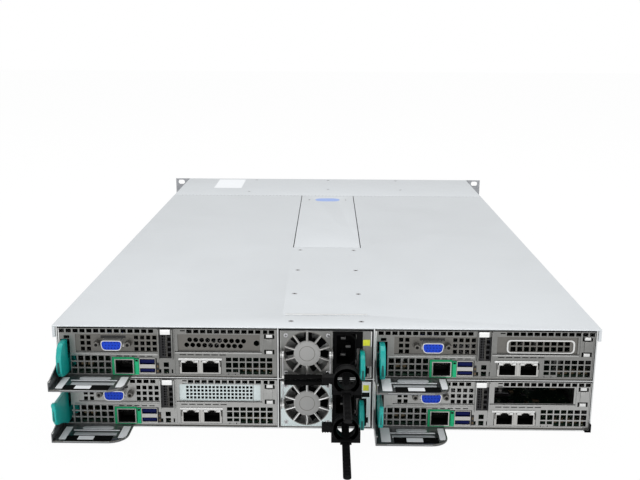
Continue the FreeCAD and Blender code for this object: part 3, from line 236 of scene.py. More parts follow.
def ring(centre, axis, outer, inner, start, end, sides=32):
    """A flat washer or short pipe around an axis, from start to end along it."""
    points, faces = [], []
    for i in range(sides):
        angle = 2 * math.pi * i / sides
        for radius, where in ((outer, start), (outer, end), (inner, end), (inner, start)):
            a, b = radius * math.cos(angle), radius * math.sin(angle)
            offset = {"x": (where, a, b), "y": (a, where, b), "z": (a, b, where)}[axis]
            points.append(Vector(centre) + Vector(offset))
    for i in range(sides):
        here, there = 4 * i, 4 * ((i + 1) % sides)
        for k in range(4):
            faces.append((here + k, here + (k + 1) % 4, there + (k + 1) % 4, there + k))
    return outward(Form(points, faces))


def outward(form):
    """The same form with its faces turned outward."""
    mesh = bmesh.new()
    verts = [mesh.verts.new(point) for point in form.points]
    for face in form.faces:
        mesh.faces.new([verts[i] for i in face])
    return from_mesh(mesh)


def grille(x_range, z_range, holes, front, back):
    """A plate in the x-z plane with rectangular holes given as (x0, x1, z0, z1)."""
    inside = [(max(a, x_range[0]), min(b, x_range[1]), max(c, z_range[0]), min(d, z_range[1]))
              for a, b, c, d in holes]
    xs = sorted({round(v, 4) for hole in inside for v in hole[:2]} | set(x_range))
    zs = sorted({round(v, 4) for hole in inside for v in hole[2:]} | set(z_range))

    def solid(i, j):
        if not (0 <= i < len(xs) - 1 and 0 <= j < len(zs) - 1):
            return False
        x, z = (xs[i] + xs[i + 1]) / 2, (zs[j] + zs[j + 1]) / 2
        return not any(a < x < b and c < z < d for a, b, c, d in inside)

    mesh = bmesh.new()
    made = {}

    def vert(i, j, y):
        key = (i, j, y)
        if key not in made:
            made[key] = mesh.verts.new((xs[i], y, zs[j]))
        return made[key]

    for i in range(len(xs) - 1):
        for j in range(len(zs) - 1):
            if not solid(i, j):
                continue
            for y in (front, back):
                mesh.faces.new([vert(i, j, y), vert(i + 1, j, y), vert(i + 1, j + 1, y),
                                vert(i, j + 1, y)])
            for (di, dj), (a, b) in {(-1, 0): ((i, j), (i, j + 1)),
                                     (1, 0): ((i + 1, j), (i + 1, j + 1)),
                                     (0, -1): ((i, j), (i + 1, j)),
                                     (0, 1): ((i, j + 1), (i + 1, j + 1))}.items():
                if not solid(i + di, j + dj):
                    mesh.faces.new([vert(*a, front), vert(*b, front), vert(*b, back),
                                    vert(*a, back)])
    return from_mesh(mesh)


def square_holes(first, pitch, counts, size):
    """Square holes in rows, given by the centre of the first one."""
    half = size / 2
    return [(first[0] + i * pitch - half, first[0] + i * pitch + half,
             first[1] + j * pitch - half, first[1] + j * pitch + half)
            for i in range(counts[0]) for j in range(counts[1])]


def rounded(x0, x1, y0, y1, radius, steps=5):
    """The outline of a rectangle with round corners."""
    outline = []
    for cx, cy, start in ((x1 - radius, y1 - radius, 0), (x0 + radius, y1 - radius, 90),
                          (x0 + radius, y0 + radius, 180), (x1 - radius, y0 + radius, 270)):
        for k in range(steps + 1):
            angle = math.radians(start + 90 * k / steps)
            outline.append((cx + radius * math.cos(angle), cy + radius * math.sin(angle)))
    return outline


def pipe(path, radius, sides=14):
    """A round bar along a path of points, closed at both ends."""
    path = [Vector(point) for point in path]
    mesh = bmesh.new()
    rings = []
    for i, point in enumerate(path):
        before, after = path[max(i - 1, 0)], path[min(i + 1, len(path) - 1)]
        turn = Vector((0, 0, 1)).rotation_difference((after - before).normalized()).to_matrix()
        rings.append([mesh.verts.new(point + turn @ Vector((radius * math.cos(2 * math.pi * k / sides),
                                                            radius * math.sin(2 * math.pi * k / sides), 0)))
                      for k in range(sides)])
    for low, high in zip(rings, rings[1:]):
        for k in range(sides):
            mesh.faces.new((low[k], low[(k + 1) % sides], high[(k + 1) % sides], high[k]))
    mesh.faces.new(rings[0])
    mesh.faces.new(rings[-1])
    return from_mesh(mesh)


def moved(form, offset=(0, 0, 0), turn=None):
    """A copy of a form, turned about the origin and then moved."""
    turn = turn or Matrix.Identity(4)
    return Form([turn @ point + Vector(offset) for point in form.points], form.faces)


class Piece:
    """Gathers forms in one object, in millimetres from an origin in metres."""

    def __init__(self, origin=(0, 0, 0)):
        self.origin = Vector(origin)
        self.points, self.faces, self.kinds, self.finishes = [], [], [], []

    def add(self, form, finish, offset=(0, 0, 0)):
        if finish not in self.finishes:
            self.finishes.append(finish)
        first = len(self.points)
        self.points += [point + Vector(offset) for point in form.points]
        self.faces += [tuple(first + i for i in face) for face in form.faces]
        self.kinds += [self.finishes.index(finish)] * len(form.faces)

    def take(self, other, offset=(0, 0, 0)):
        first = len(self.points)
        self.points += [point + Vector(offset) for point in other.points]
        self.faces += [tuple(first + i for i in face) for face in other.faces]
        for kind in other.kinds:
            finish = other.finishes[kind]
            if finish not in self.finishes:
                self.finishes.append(finish)
            self.kinds.append(self.finishes.index(finish))

    def make(self, name, body, slot, smooth=40):
        data = bpy.data.meshes.new(name)
        data.from_pydata([self.origin + point * MM for point in self.points], [], self.faces)
        for finish in self.finishes:
            data.materials.append(bpy.data.materials[finish])
        data.polygons.foreach_set("material_index", self.kinds)
        data.shade_smooth()
        data.set_sharp_from_angle(angle=math.radians(smooth))
        data.validate()
        made = bpy.data.objects.new(name, data)
        bpy.context.scene.collection.objects.link(made)
        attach(made, body)
        return made


def softened(node, name, finish, radius, segments=2, sharp=30):
    """A copy of a solid with its edges rounded, which then stands for it."""
    source = frame["nodes"][node]
    mesh = bmesh.new()
    mesh.from_mesh(source.data)
    bmesh.ops.remove_doubles(mesh, verts=mesh.verts[:], dist=1e-6)
    bmesh.ops.dissolve_limit(mesh, angle_limit=math.radians(1), verts=mesh.verts[:],
                             edges=mesh.edges[:])
    edges = [edge for edge in mesh.edges
             if len(edge.link_faces) == 2 and edge.calc_face_angle() > math.radians(sharp)]
    bmesh.ops.bevel(mesh, geom=edges, offset=radius, segments=segments, profile=0.6,
                    affect="EDGES", clamp_overlap=True)
    data = bpy.data.meshes.new(name)
    mesh.to_mesh(data)
    mesh.free()
    data.materials.clear()
    data.materials.append(bpy.data.materials[finish])
    data.polygons.foreach_set("material_index", [0] * len(data.polygons))
    data.shade_smooth()
    data.set_sharp_from_angle(angle=math.radians(50))
    made = bpy.data.objects.new(name, data)
    bpy.context.scene.collection.objects.link(made)
    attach(made, source["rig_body"])
    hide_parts(node)
    return made


# ------------------------------------------------------------------ finishes
def put(tree, kind, settings=None, **sockets):
    """A node with its settings, and its sockets set or linked."""
    made = tree.nodes.new("ShaderNode" + kind)
    for name, value in (settings or {}).items():
        setattr(made, name, value)
    for name, value in sockets.items():
        join(tree, value, made.inputs[name.replace("_", " ")])
    return made


def join(tree, value, socket):
    """Link a socket to another one, or give it a plain value."""
    if isinstance(value, bpy.types.NodeSocket):
        tree.links.new(value, socket)
    else:
        socket.default_value = value


def sum_up(tree, operation, first, second, clamp=False):
    made = put(tree, "Math", {"operation": operation, "use_clamp": clamp})
    join(tree, first, made.inputs[0])
    join(tree, second, made.inputs[1])
    return made.outputs[0]


def between(tree, factor, low, high):
    """A value from low to high as the factor goes from 0 to 1."""
    made = put(tree, "MapRange")
    join(tree, factor, made.inputs["Value"])
    made.inputs["To Min"].default_value = low
    made.inputs["To Max"].default_value = high
    return made.outputs[0]


def blended(tree, factor, first, second):
    """A colour between two colours."""
    made = put(tree, "Mix", {"data_type": "RGBA"})
    join(tree, factor, made.inputs[0])
    for value, socket in ((first, made.inputs[6]), (second, made.inputs[7])):
        join(tree, value, socket)
    return made.outputs[2]


def shader_group(name, takes, gives):
    """An empty shader group with its named inputs and outputs."""
    tree = bpy.data.node_groups.new(name, "ShaderNodeTree")
    for label, default in takes:
        socket = tree.interface.new_socket(label, in_out="INPUT", socket_type="NodeSocketFloat")
        socket.default_value = default
    for label in gives:
        tree.interface.new_socket(label, in_out="OUTPUT", socket_type="NodeSocketFloat")
    return tree, tree.nodes.new("NodeGroupInput").outputs, tree.nodes.new("NodeGroupOutput").inputs


def build_sheet_grain():
    """Fine grain of a rolled or coated sheet, with optional zinc flowers."""
    tree, takes, gives = shader_group("sheet_grain", [("Fineness", 900.0), ("Flowers", 0.0),
                                                      ("Flower size", 160.0)], ["Shade", "Height"])
    place = put(tree, "TexCoord").outputs["Object"]
    fine = put(tree, "TexNoise", Vector=place, Scale=takes["Fineness"], Detail=4.0, Roughness=0.6)
    flower = put(tree, "TexVoronoi", Vector=place, Scale=takes["Flower size"])
    tone = put(tree, "SeparateColor", Color=flower.outputs["Color"])
    weight = sum_up(tree, "MULTIPLY", takes["Flowers"],
                    sum_up(tree, "SUBTRACT", tone.outputs[0], 0.5))
    shade = sum_up(tree, "ADD", fine.outputs[0], weight, clamp=True)
    tree.links.new(shade, gives["Shade"])
    tree.links.new(fine.outputs[0], gives["Height"])


def build_edge_mask():
    """A mask that is 1 along edges and falls off inside the width."""
    tree, takes, gives = shader_group("edge_mask", [("Width", 0.0006), ("Amount", 1.0)], ["Wear"])
    soft = put(tree, "Bevel", {"samples": 3}, Radius=takes["Width"])
    true = put(tree, "NewGeometry")
    near = put(tree, "VectorMath", {"operation": "DOT_PRODUCT"})
    tree.links.new(soft.outputs[0], near.inputs[0])
    tree.links.new(true.outputs["Normal"], near.inputs[1])
    bent = sum_up(tree, "MULTIPLY", sum_up(tree, "SUBTRACT", 1.0, near.outputs["Value"]), 5.0)
    rough = put(tree, "TexNoise", Vector=put(tree, "TexCoord").outputs["Object"], Scale=260.0,
                Detail=3.0)
    worn = sum_up(tree, "MULTIPLY", bent, sum_up(tree, "MULTIPLY", rough.outputs[0],
                                                takes["Amount"]), clamp=True)
    tree.links.new(worn, gives["Wear"])


def build_handling_marks():
    """Broad smudges from hands and cloths, and thin scratches."""
    tree, takes, gives = shader_group("handling_marks", [("Size", 14.0)], ["Smudge", "Scratch"])
    place = put(tree, "TexCoord").outputs["Object"]
    broad = put(tree, "TexNoise", Vector=place, Scale=takes["Size"], Detail=5.0, Distortion=0.7)
    stretch = put(tree, "Mapping", Vector=place, Scale=(30.0, 900.0, 900.0),
                  Rotation=(0.0, 0.0, 0.3))
    line = put(tree, "TexNoise", Vector=stretch.outputs[0], Scale=1.0, Detail=2.0)
    thin = put(tree, "MapRange")
    tree.links.new(line.outputs[0], thin.inputs["Value"])
    thin.inputs["From Min"].default_value = 0.66
    thin.inputs["From Max"].default_value = 0.74
    tree.links.new(broad.outputs[0], gives["Smudge"])
    tree.links.new(thin.outputs[0], gives["Scratch"])


def group_node(tree, name, **values):
    made = tree.nodes.new("ShaderNodeGroup")
    made.node_tree = bpy.data.node_groups[name]
    for label, value in values.items():
        made.inputs[label.replace("_", " ")].default_value = value
    return made.outputs


def fresh(name):
    """An empty material with its surface shader."""
    made = bpy.data.materials.new(name)
    made.use_nodes = True
    tree = made.node_tree
    tree.nodes.clear()
    shader = put(tree, "BsdfPrincipled")
    out = tree.nodes.new("ShaderNodeOutputMaterial")
    tree.links.new(shader.outputs[0], out.inputs[0])
    return made, tree, shader


def scaled(tone, factor):
    return tuple(min(1.0, part * factor) for part in tone) + (1.0,)


def bumped(tree, shader, height, depth):
    made = put(tree, "Bump", Height=height, Distance=depth)
    tree.links.new(made.outputs[0], shader.inputs["Normal"])


def metal(name, tone, roughness=0.36, fineness=900.0, flowers=0.0, flower_size=160.0, spread=0.12,
          depth=0.00002, metallic=0.9, edge_amount=1.0):
    """Rolled, plated or coated sheet metal."""
    made, tree, shader = fresh(name)
    grain = group_node(tree, "sheet_grain", Fineness=fineness, Flowers=flowers,
                       Flower_size=flower_size)
    marks = group_node(tree, "handling_marks", Size=16.0)
    edge = group_node(tree, "edge_mask", Amount=edge_amount,
                      Width=bpy.context.scene.server_sizes.sheet_edge)
    base = blended(tree, grain["Shade"], scaled(tone, 1 - spread), scaled(tone, 1 + spread))
    lit = blended(tree, sum_up(tree, "MULTIPLY", marks["Scratch"], 0.25), base, scaled(tone, 1.25))
    # Edges are lightened by 1.35: partly worn metal, partly a painted highlight where a rounded edge would
    # catch the light.
    tree.links.new(blended(tree, edge["Wear"], lit, scaled(tone, 1.35)), shader.inputs["Base Color"])
    tree.links.new(between(tree, marks["Smudge"], roughness - 0.08, roughness + 0.1),
                   shader.inputs["Roughness"])
    shader.inputs["Metallic"].default_value = metallic
    bumped(tree, shader, grain["Height"], depth)
    return made


def moulded(name, tone, roughness=0.42, fineness=1400.0, depth=0.00003, edge_amount=0.5, coat=0.0,
            shine=0.4):
    """Moulded plastic or rubber with a fine texture and rubbed edges."""
    made, tree, shader = fresh(name)
    grain = group_node(tree, "sheet_grain", Fineness=fineness)
    marks = group_node(tree, "handling_marks", Size=24.0)
    edge = group_node(tree, "edge_mask", Amount=edge_amount,
                      Width=bpy.context.scene.server_sizes.sheet_edge)
    base = blended(tree, grain["Shade"], scaled(tone, 0.86), scaled(tone, 1.12))
    rubbed = tuple(part * 0.97 + 0.004 for part in tone) + (1.0,)
    tree.links.new(blended(tree, edge["Wear"], base, rubbed), shader.inputs["Base Color"])
    tree.links.new(between(tree, marks["Smudge"], roughness - 0.1, roughness + 0.1),
                   shader.inputs["Roughness"])
    shader.inputs["Coat Weight"].default_value = coat
    shader.inputs["Specular IOR Level"].default_value = shine
    bumped(tree, shader, grain["Height"], depth)
    return made


def glowing(name, tone, strength):
    """A small indicator lamp behind a clear window."""
    made, tree, shader = fresh(name)
    marks = group_node(tree, "handling_marks", Size=400.0)
    tree.links.new(blended(tree, marks["Smudge"], scaled(tone, 0.8), scaled(tone, 1.1)),
                   shader.inputs["Base Color"])
    shader.inputs["Emission Color"].default_value = tone + (1.0,)
    shader.inputs["Emission Strength"].default_value = strength
    shader.inputs["Roughness"].default_value = 0.25
    return made


def circuit_board(name, tone):
    """Solder mask with copper tracks and plated holes."""
    made, tree, shader = fresh(name)
    place = put(tree, "TexCoord").outputs["Object"]
    grain = group_node(tree, "sheet_grain", Fineness=1200.0)
    tracks = []
    for direction, scale in (("X", 260.0), ("Y", 300.0)):
        wave = put(tree, "TexWave", {"bands_direction": direction}, Vector=place, Scale=scale,
                   Distortion=2.0, Detail=0.0, Detail_Scale=0.4)
        tracks.append(sum_up(tree, "GREATER_THAN", wave.outputs["Fac"], 0.72))
    zone = put(tree, "TexVoronoi", Vector=place, Scale=46.0)
    part = put(tree, "SeparateColor", Color=zone.outputs["Color"])
    pick = sum_up(tree, "GREATER_THAN", part.outputs[0], 0.5)
    track = put(tree, "Mix")
    tree.links.new(pick, track.inputs[0])
    tree.links.new(tracks[0], track.inputs[2])
    tree.links.new(tracks[1], track.inputs[3])
    pads = put(tree, "TexVoronoi", Vector=place, Scale=330.0)
    pad = sum_up(tree, "LESS_THAN", pads.outputs["Distance"], 0.16)
    green = blended(tree, grain["Shade"], scaled(tone, 0.8), scaled(tone, 1.2))
    traced = blended(tree, track.outputs[0], green, scaled(tone, 1.9))
    plated = blended(tree, pad, traced, (0.62, 0.58, 0.44, 1.0))
    tree.links.new(plated, shader.inputs["Base Color"])
    tree.links.new(between(tree, grain["Shade"], 0.28, 0.45), shader.inputs["Roughness"])
    bumped(tree, shader, track.outputs[0], 0.00004)
    return made


def paper(name, tone):
    """A bare label: matt, slightly mottled, with a soft sheen."""
    made, tree, shader = fresh(name)
    grain = group_node(tree, "sheet_grain", Fineness=2200.0)
    marks = group_node(tree, "handling_marks", Size=40.0)
    base = blended(tree, grain["Shade"], scaled(tone, 0.96), scaled(tone, 1.04))
    tree.links.new(blended(tree, sum_up(tree, "MULTIPLY", marks["Smudge"], 0.3), base,
                           scaled(tone, 0.9)), shader.inputs["Base Color"])
    tree.links.new(between(tree, grain["Shade"], 0.48, 0.6), shader.inputs["Roughness"])
    bumped(tree, shader, grain["Height"], 0.00001)
    return made


class SERVER_OT_finishes(bpy.types.Operator):
    """Makes every finish and gives the solids theirs"""

    bl_idname = "server.finishes"
    bl_label = "Finishes"

    def execute(self, context):
        tones = context.scene.server_colours
        build_sheet_grain()
        build_edge_mask()
        build_handling_marks()
        metal("cover_coat", tuple(tones.cover), roughness=0.46, fineness=1500.0, spread=0.07,
              depth=0.00003, metallic=0.35, edge_amount=0.6)
        metal("zinc_sheet", tuple(tones.zinc), roughness=0.4, flowers=0.5, flower_size=70.0)
        metal("panel_plate", tuple(tones.panel), roughness=0.36, flowers=0.25, flower_size=300.0,
              edge_amount=1.2)
        # Darker copy of the panel plate: painted shade on the upper faces.
        metal("upper_plate", tuple(tones.upper), roughness=0.38, flowers=0.25, flower_size=300.0,
              edge_amount=1.6)
        # Dark plate for small parts; on the upper modules' sunk plate it is painted shade.
        metal("recess_plate", tuple(tones.recess), roughness=0.42, flowers=0.2, flower_size=300.0)
        metal("shelf_plate", (0.15, 0.155, 0.16), roughness=0.34, flowers=0.2, flower_size=200.0)
        # Pale band with little metal: painted reflection of the light on the bare shelf.
        metal("shelf_band", (0.42, 0.44, 0.455), roughness=0.42, flowers=0.2, metallic=0.25)
        metal("pale_plate", (0.56, 0.63, 0.635), roughness=0.4, flowers=0.2, flower_size=300.0,
              metallic=0.6)
        metal("bright_plate", tuple(tones.bright), roughness=0.3, spread=0.06, edge_amount=0.8)
        metal("port_tin", (0.46, 0.455, 0.44), roughness=0.32, spread=0.08)
        # Dark blades: painted shade inside the deep inlet mouth.
        metal("inlet_blade", (0.10, 0.10, 0.10), roughness=0.4, spread=0.05)
        metal("white_plate", (0.86, 0.865, 0.86), roughness=0.3, spread=0.04, edge_amount=0.4)
        metal("steel_bar", (0.58, 0.58, 0.58), roughness=0.3, spread=0.1)
        metal("screw_steel", (0.46, 0.46, 0.47), roughness=0.28, spread=0.1, metallic=1.0)
        metal("pin_brass", (0.78, 0.62, 0.30), roughness=0.25, spread=0.08, metallic=1.0)
        metal("fin_aluminium", (0.70, 0.71, 0.72), roughness=0.34, spread=0.06, metallic=1.0)
        moulded("lever_plastic", tuple(tones.teal), roughness=0.36, edge_amount=0.35, coat=0.1)
        moulded("lever_shadow", scaled(tuple(tones.teal), 0.22)[:3], roughness=0.5, edge_amount=0.0)
        moulded("video_plastic", tuple(tones.video), roughness=0.4, shine=0.2, edge_amount=0.2)
        moulded("serial_plastic", tuple(tones.serial), roughness=0.5, shine=0.1, edge_amount=0.1)
        moulded("jack_plastic", tuple(tones.jack), roughness=0.5, shine=0.12)
        moulded("jack_bright", (0.015, 0.38, 0.17), roughness=0.5, shine=0.15)
        moulded("fan_plastic", (0.003, 0.003, 0.003), roughness=0.6, shine=0.05)
        moulded("inlet_plastic", (0.0022, 0.0022, 0.0024), roughness=0.6, shine=0.05)
        moulded("strap_plastic", (0.003, 0.003, 0.0034), roughness=0.55, shine=0.08)
        moulded("sleeve_rubber", (0.0024, 0.0024, 0.0024), roughness=0.68, fineness=700.0, shine=0.05)
        moulded("carrier_plastic", (0.022, 0.022, 0.024), roughness=0.46, shine=0.3)
        moulded("pod_plastic_grey", (0.34, 0.35, 0.37), roughness=0.46)
        moulded("button_plastic", (0.60, 0.61, 0.62), roughness=0.36)
        # Black plastic of the sockets; its dark blocks also stand in holes, slots, gaps and screw recesses
        # as painted shade.
        moulded("socket_dark", (0.003, 0.003, 0.003), roughness=0.65, edge_amount=0.0, shine=0.1)
        # Black chips and parts; also a painted shadow over the video socket.
        moulded("chip_black", (0.018, 0.018, 0.019), roughness=0.5, shine=0.3)
        moulded("part_tan", (0.11, 0.082, 0.05), roughness=0.5, shine=0.15)
        moulded("tag_plastic", tuple(tones.tag), roughness=0.45)
        moulded("mark_paint", tuple(tones.mark), roughness=0.5, edge_amount=0.0)
        paper("bare_label", tuple(tones.label))
        paper("disc_label", (0.31, 0.31, 0.305))
        glowing("lamp_amber", (0.9, 0.35, 0.05), 0.25)
        glowing("lamp_green", (0.1, 0.75, 0.2), 0.2)
        # Solder mask darkened as painted shade inside the body.
        circuit_board("board_mask", tuple(tones.board))
        worn = {"chassis_pan": "zinc_sheet", "bay_frame": "zinc_sheet", "rear_cover": "cover_coat",
                "front_cover": "cover_coat", "middle_cover": "cover_coat",
                "module_tray": "panel_plate", "module_panel": "panel_plate",
                "slot_cover_1": "bright_plate", "slot_cover": "panel_plate",
                "module_ports": "port_tin", "module_latch": "lever_plastic",
                "mainboard": "board_mask", "heat_sinks": "fin_aluminium",
                "module_fans": "fan_plastic", "psu_case": "panel_plate", "psu_fan": "fan_plastic",
                "psu_inlet": "inlet_plastic", "psu_latch": "lever_plastic",
                "psu_bail": "steel_bar", "cord_strap": "strap_plastic",
                "cord_clamp": "strap_plastic", "backplane": "board_mask",
                "power_board": "board_mask", "drive_cage": "zinc_sheet",
                "drive_carriers": "carrier_plastic", "rack_ear": "pod_plastic_grey",
                "power_button": "button_plastic"}
        for name, solid in frame["nodes"].items():
            finish = next(worn[start] for start in sorted(worn, key=len, reverse=True)
                          if name.startswith(start))
            solid.data.materials.clear()
            solid.data.materials.append(bpy.data.materials[finish])
        return {"FINISHED"}


# ------------------------------------------------------------------ the studio


# ------------------------------------------------------------------ places on the server
def rear_plane():
    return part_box("chassis_pan")[0].y


def module_corner(n):
    """Lower left corner of a module at the rear plane."""
    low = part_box("module_tray_%d" % n)[0]
    return Vector((low.x, rear_plane(), low.z))


def supply_corner(n):
    """Lower left corner of a supply at the rear plane."""
    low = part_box("psu_case_%d" % n)[0]
    return Vector((low.x, rear_plane(), low.z))


def curved(points, radius, steps=4):
    """An outline whose corners are rounded off."""
    outline = []
    count = len(points)
    for i in range(count):
        before, corner, after = (Vector(points[i - 1]), Vector(points[i]),
                                 Vector(points[(i + 1) % count]))
        start = corner + (before - corner).normalized() * radius
        end = corner + (after - corner).normalized() * radius
        for k in range(steps + 1):
            t = k / steps
            outline.append(tuple((1 - t) ** 2 * start + 2 * t * (1 - t) * corner + t * t * end))
    return outline


def rectangle(x0, x1, z0, z1):
    return [(x0, z0), (x1, z0), (x1, z1), (x0, z1)]


def collar(outer, inner, start, end):
    """A short tube along Y between two outlines with as many points each."""
    points = []
    for y in (start, end):
        points += [(x, y, z) for x, z in outer] + [(x, y, z) for x, z in inner]
    count = len(outer)
    faces = []
    for i in range(count):
        j = (i + 1) % count
        near_out, near_in, far_out, far_in = 0, count, 2 * count, 3 * count
        faces.append((near_out + i, near_out + j, near_in + j, near_in + i))
        faces.append((far_out + i, far_in + i, far_in + j, far_out + j))
        faces.append((near_out + i, far_out + i, far_out + j, near_out + j))
        faces.append((near_in + i, near_in + j, far_in + j, far_in + i))
    return outward(Form(points, faces))


def screw(piece, place, axis, radius, finish="screw_steel", height=0.5):
    """A pan head with its cross recess painted dark as shade, facing down the axis."""
    place = Vector(place)
    step = {"y": Vector((0, -1, 0)), "z": Vector((0, 0, 1)), "x": Vector((1, 0, 0)),
            "-x": Vector((-1, 0, 0))}[axis]
    top = place + step * height
    piece.add(rod(place, top, radius, 20, radius * 0.12, radius * 0.86), finish)
    across = [side for side in (Vector((1, 0, 0)), Vector((0, 1, 0)), Vector((0, 0, 1)))
              if abs(side.dot(step)) < 0.5]
    # The cross blocks are painted shade for the recess.
    for one, other in (across, across[::-1]):
        half = one * radius * 0.5 + other * radius * 0.11
        low, high = top - half - step * 0.2, top + half + step * 0.02
        piece.add(block([min(a, b) for a, b in zip(low, high)],
                        [max(a, b) for a, b in zip(low, high)]), "socket_dark")


# ------------------------------------------------------------------ covers and body
class SERVER_OT_covers(bpy.types.Operator):
    """Rounds the covers and gives them their screws, lip, touch mark and label"""

    bl_idname = "server.covers"
    bl_label = "Covers"

    def execute(self, context):
        sizes = context.scene.server_sizes
        for node in ("rear_cover", "front_cover", "middle_cover"):
            softened(node, node + "_sheet", "cover_coat", 0.00035)
        low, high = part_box("rear_cover")
        origin = Vector((0, low.y, high.z))
        half = (high.x - low.x) / 2 / MM
        lip = sizes.cover_lip / MM
        rear = Piece(origin)
        roll = [(-lip * 0.5 * math.sin(math.radians(a)),
                 -lip * 0.46 + lip * 0.45 * math.cos(math.radians(a))) for a in range(0, 181, 20)]
        rear.add(extruded(roll, "x", -half + 0.3, half - 0.3), "cover_coat")
        # Dark strip under the rolled lip: painted shadow between the cover and the faces below.
        rear.add(block((-half + 3.2, 0.3, -1.38), (half - 3.2, 3.0, -1.02)), "socket_dark")
        rear.add(block((-35.5, 30.1, -0.6), (35.5, 31.1, -0.42)), "socket_dark")
        rear.add(block((-34, 31.6, -0.01), (34, 34.2, 0.05), 0.02), "bright_plate")
        for x in (-28.6, 28.6):
            for y in (15.0, 90.5, 169.0, 249.0):
                self.dimple(rear, x, y, sizes.screw_head / MM)
        for i in range(84):
            x = -208 + i * 5.0
            rear.add(block((x, 562.6, -0.02), (x + 1.7, 563.4, 0.015)), "socket_dark")
        rear.make("rear_cover_fittings", "chassis", "cover_grey")
        middle = Piece(origin)
        touch = rounded(-17.0, 17.0, 523.0, 544.0, 10.0, 8)
        middle.add(extruded(touch, "z", -0.02, 0.05), "mark_paint")
        for x in (-25.2, 25.2):
            middle.add(rod((x, 533.0, -0.2), (x, 533.0, 0.02), 1.3, 16), "socket_dark")
            middle.add(ring((x, 533.0, 0), "z", 1.9, 1.3, -0.1, 0.06, 20), "bright_plate")
        middle.make("middle_cover_fittings", "chassis", "cover_grey")
        front = Piece(origin)
        for x, y in ((0.6, 694), (0.7, 615), (108, 614), (107, 694), (-112, 694), (-115, 595)):
            self.dimple(front, x, y, sizes.screw_head / MM)
        thick = sizes.label / MM
        front.add(extruded(rounded(-170, -129, 622, 697, 1.5), "z", 0, thick), "bare_label")
        front.make("front_cover_fittings", "chassis", "cover_grey")
        return {"FINISHED"}

    def dimple(self, piece, x, y, radius):
        """A countersunk screw in a shallow pressed dimple."""
        piece.add(ring((x, y, 0), "z", radius * 1.7, radius, -0.4, 0.04, 28), "cover_coat")
        piece.add(rod((x, y, -0.5), (x, y, 0.05), radius, 24, 0.12), "screw_steel")
        # Dark cross blocks stand for the screw's recess as painted shade.
        for a, b in ((0.55, 0.12), (0.12, 0.55)):
            piece.add(block((x - radius * a, y - radius * b, -0.1),
                            (x + radius * a, y + radius * b, 0.08)), "socket_dark")


class SERVER_OT_body(bpy.types.Operator):
    """Adds rivets, the corner foot and the board fittings to the body"""

    bl_idname = "server.body"
    bl_label = "Body"

    def execute(self, context):
        low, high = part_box("chassis_pan")
        shell = Piece((0, low.y, low.z))
        side = high.x / MM
        for sign, axis in ((-1, "-x"), (1, "x")):
            for y in (40, 130, 220, 310, 400, 490, 590, 650):
                for z in (12, 62):
                    start = Vector((sign * side, y, z))
                    shell.add(rod(start, start + Vector((sign * 0.7, 0, 0)), 2.4, 18, 0.3, 1.7),
                              "screw_steel")
            for y in (85, 355, 620):
                shell.add(ring((sign * side, y, 38), "x", 4.6, 3.4, -0.2, 0.35, 28), "zinc_sheet")
                shell.add(rod((sign * (side - 0.2), y, 38), (sign * (side + 0.05), y, 38), 3.4, 28),
                          "socket_dark")
        foot = curved([(side - 5.0, 0.1), (side - 0.1, 0.1), (side - 0.1, 7.0), (side - 1.0, 7.0),
                       (side - 1.0, 0.9), (side - 5.0, 0.8)], 0.2)
        shell.add(extruded(foot, "y", -2.6, -0.05, 0.1), "fan_plastic")
        shell.make("body_rivets", "chassis", "shell_zinc")
        self.backplane_parts()
        return {"FINISHED"}

    def backplane_parts(self):
        low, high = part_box("backplane")
        parts = Piece((0, high.y, low.z))
        choice = random.Random(11)
        for i in range(24):
            x = (i - 11.5) * 17.6
            parts.add(block((x - 3, 0, 20), (x + 3, 6, 62), 0.4), "chip_black")
            parts.add(rod((x + 5.4, 0, 70), (x + 5.4, 7, 70), 2.6, 16, 0.3), "port_tin")
        for n in MODULES:
            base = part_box("module_tray_%d" % n)[0]
            left = base.x / MM + 20
            for k in range(5):
                z = (base.z - low.z) / MM + 8 + choice.random() * 4
                parts.add(rod((left + k * 9, -2.0, z), (left + k * 9, -6.5, z), 2.0, 14, 0.3),
                          "chip_black")
        parts.make("backplane_parts", "chassis", "board_green")


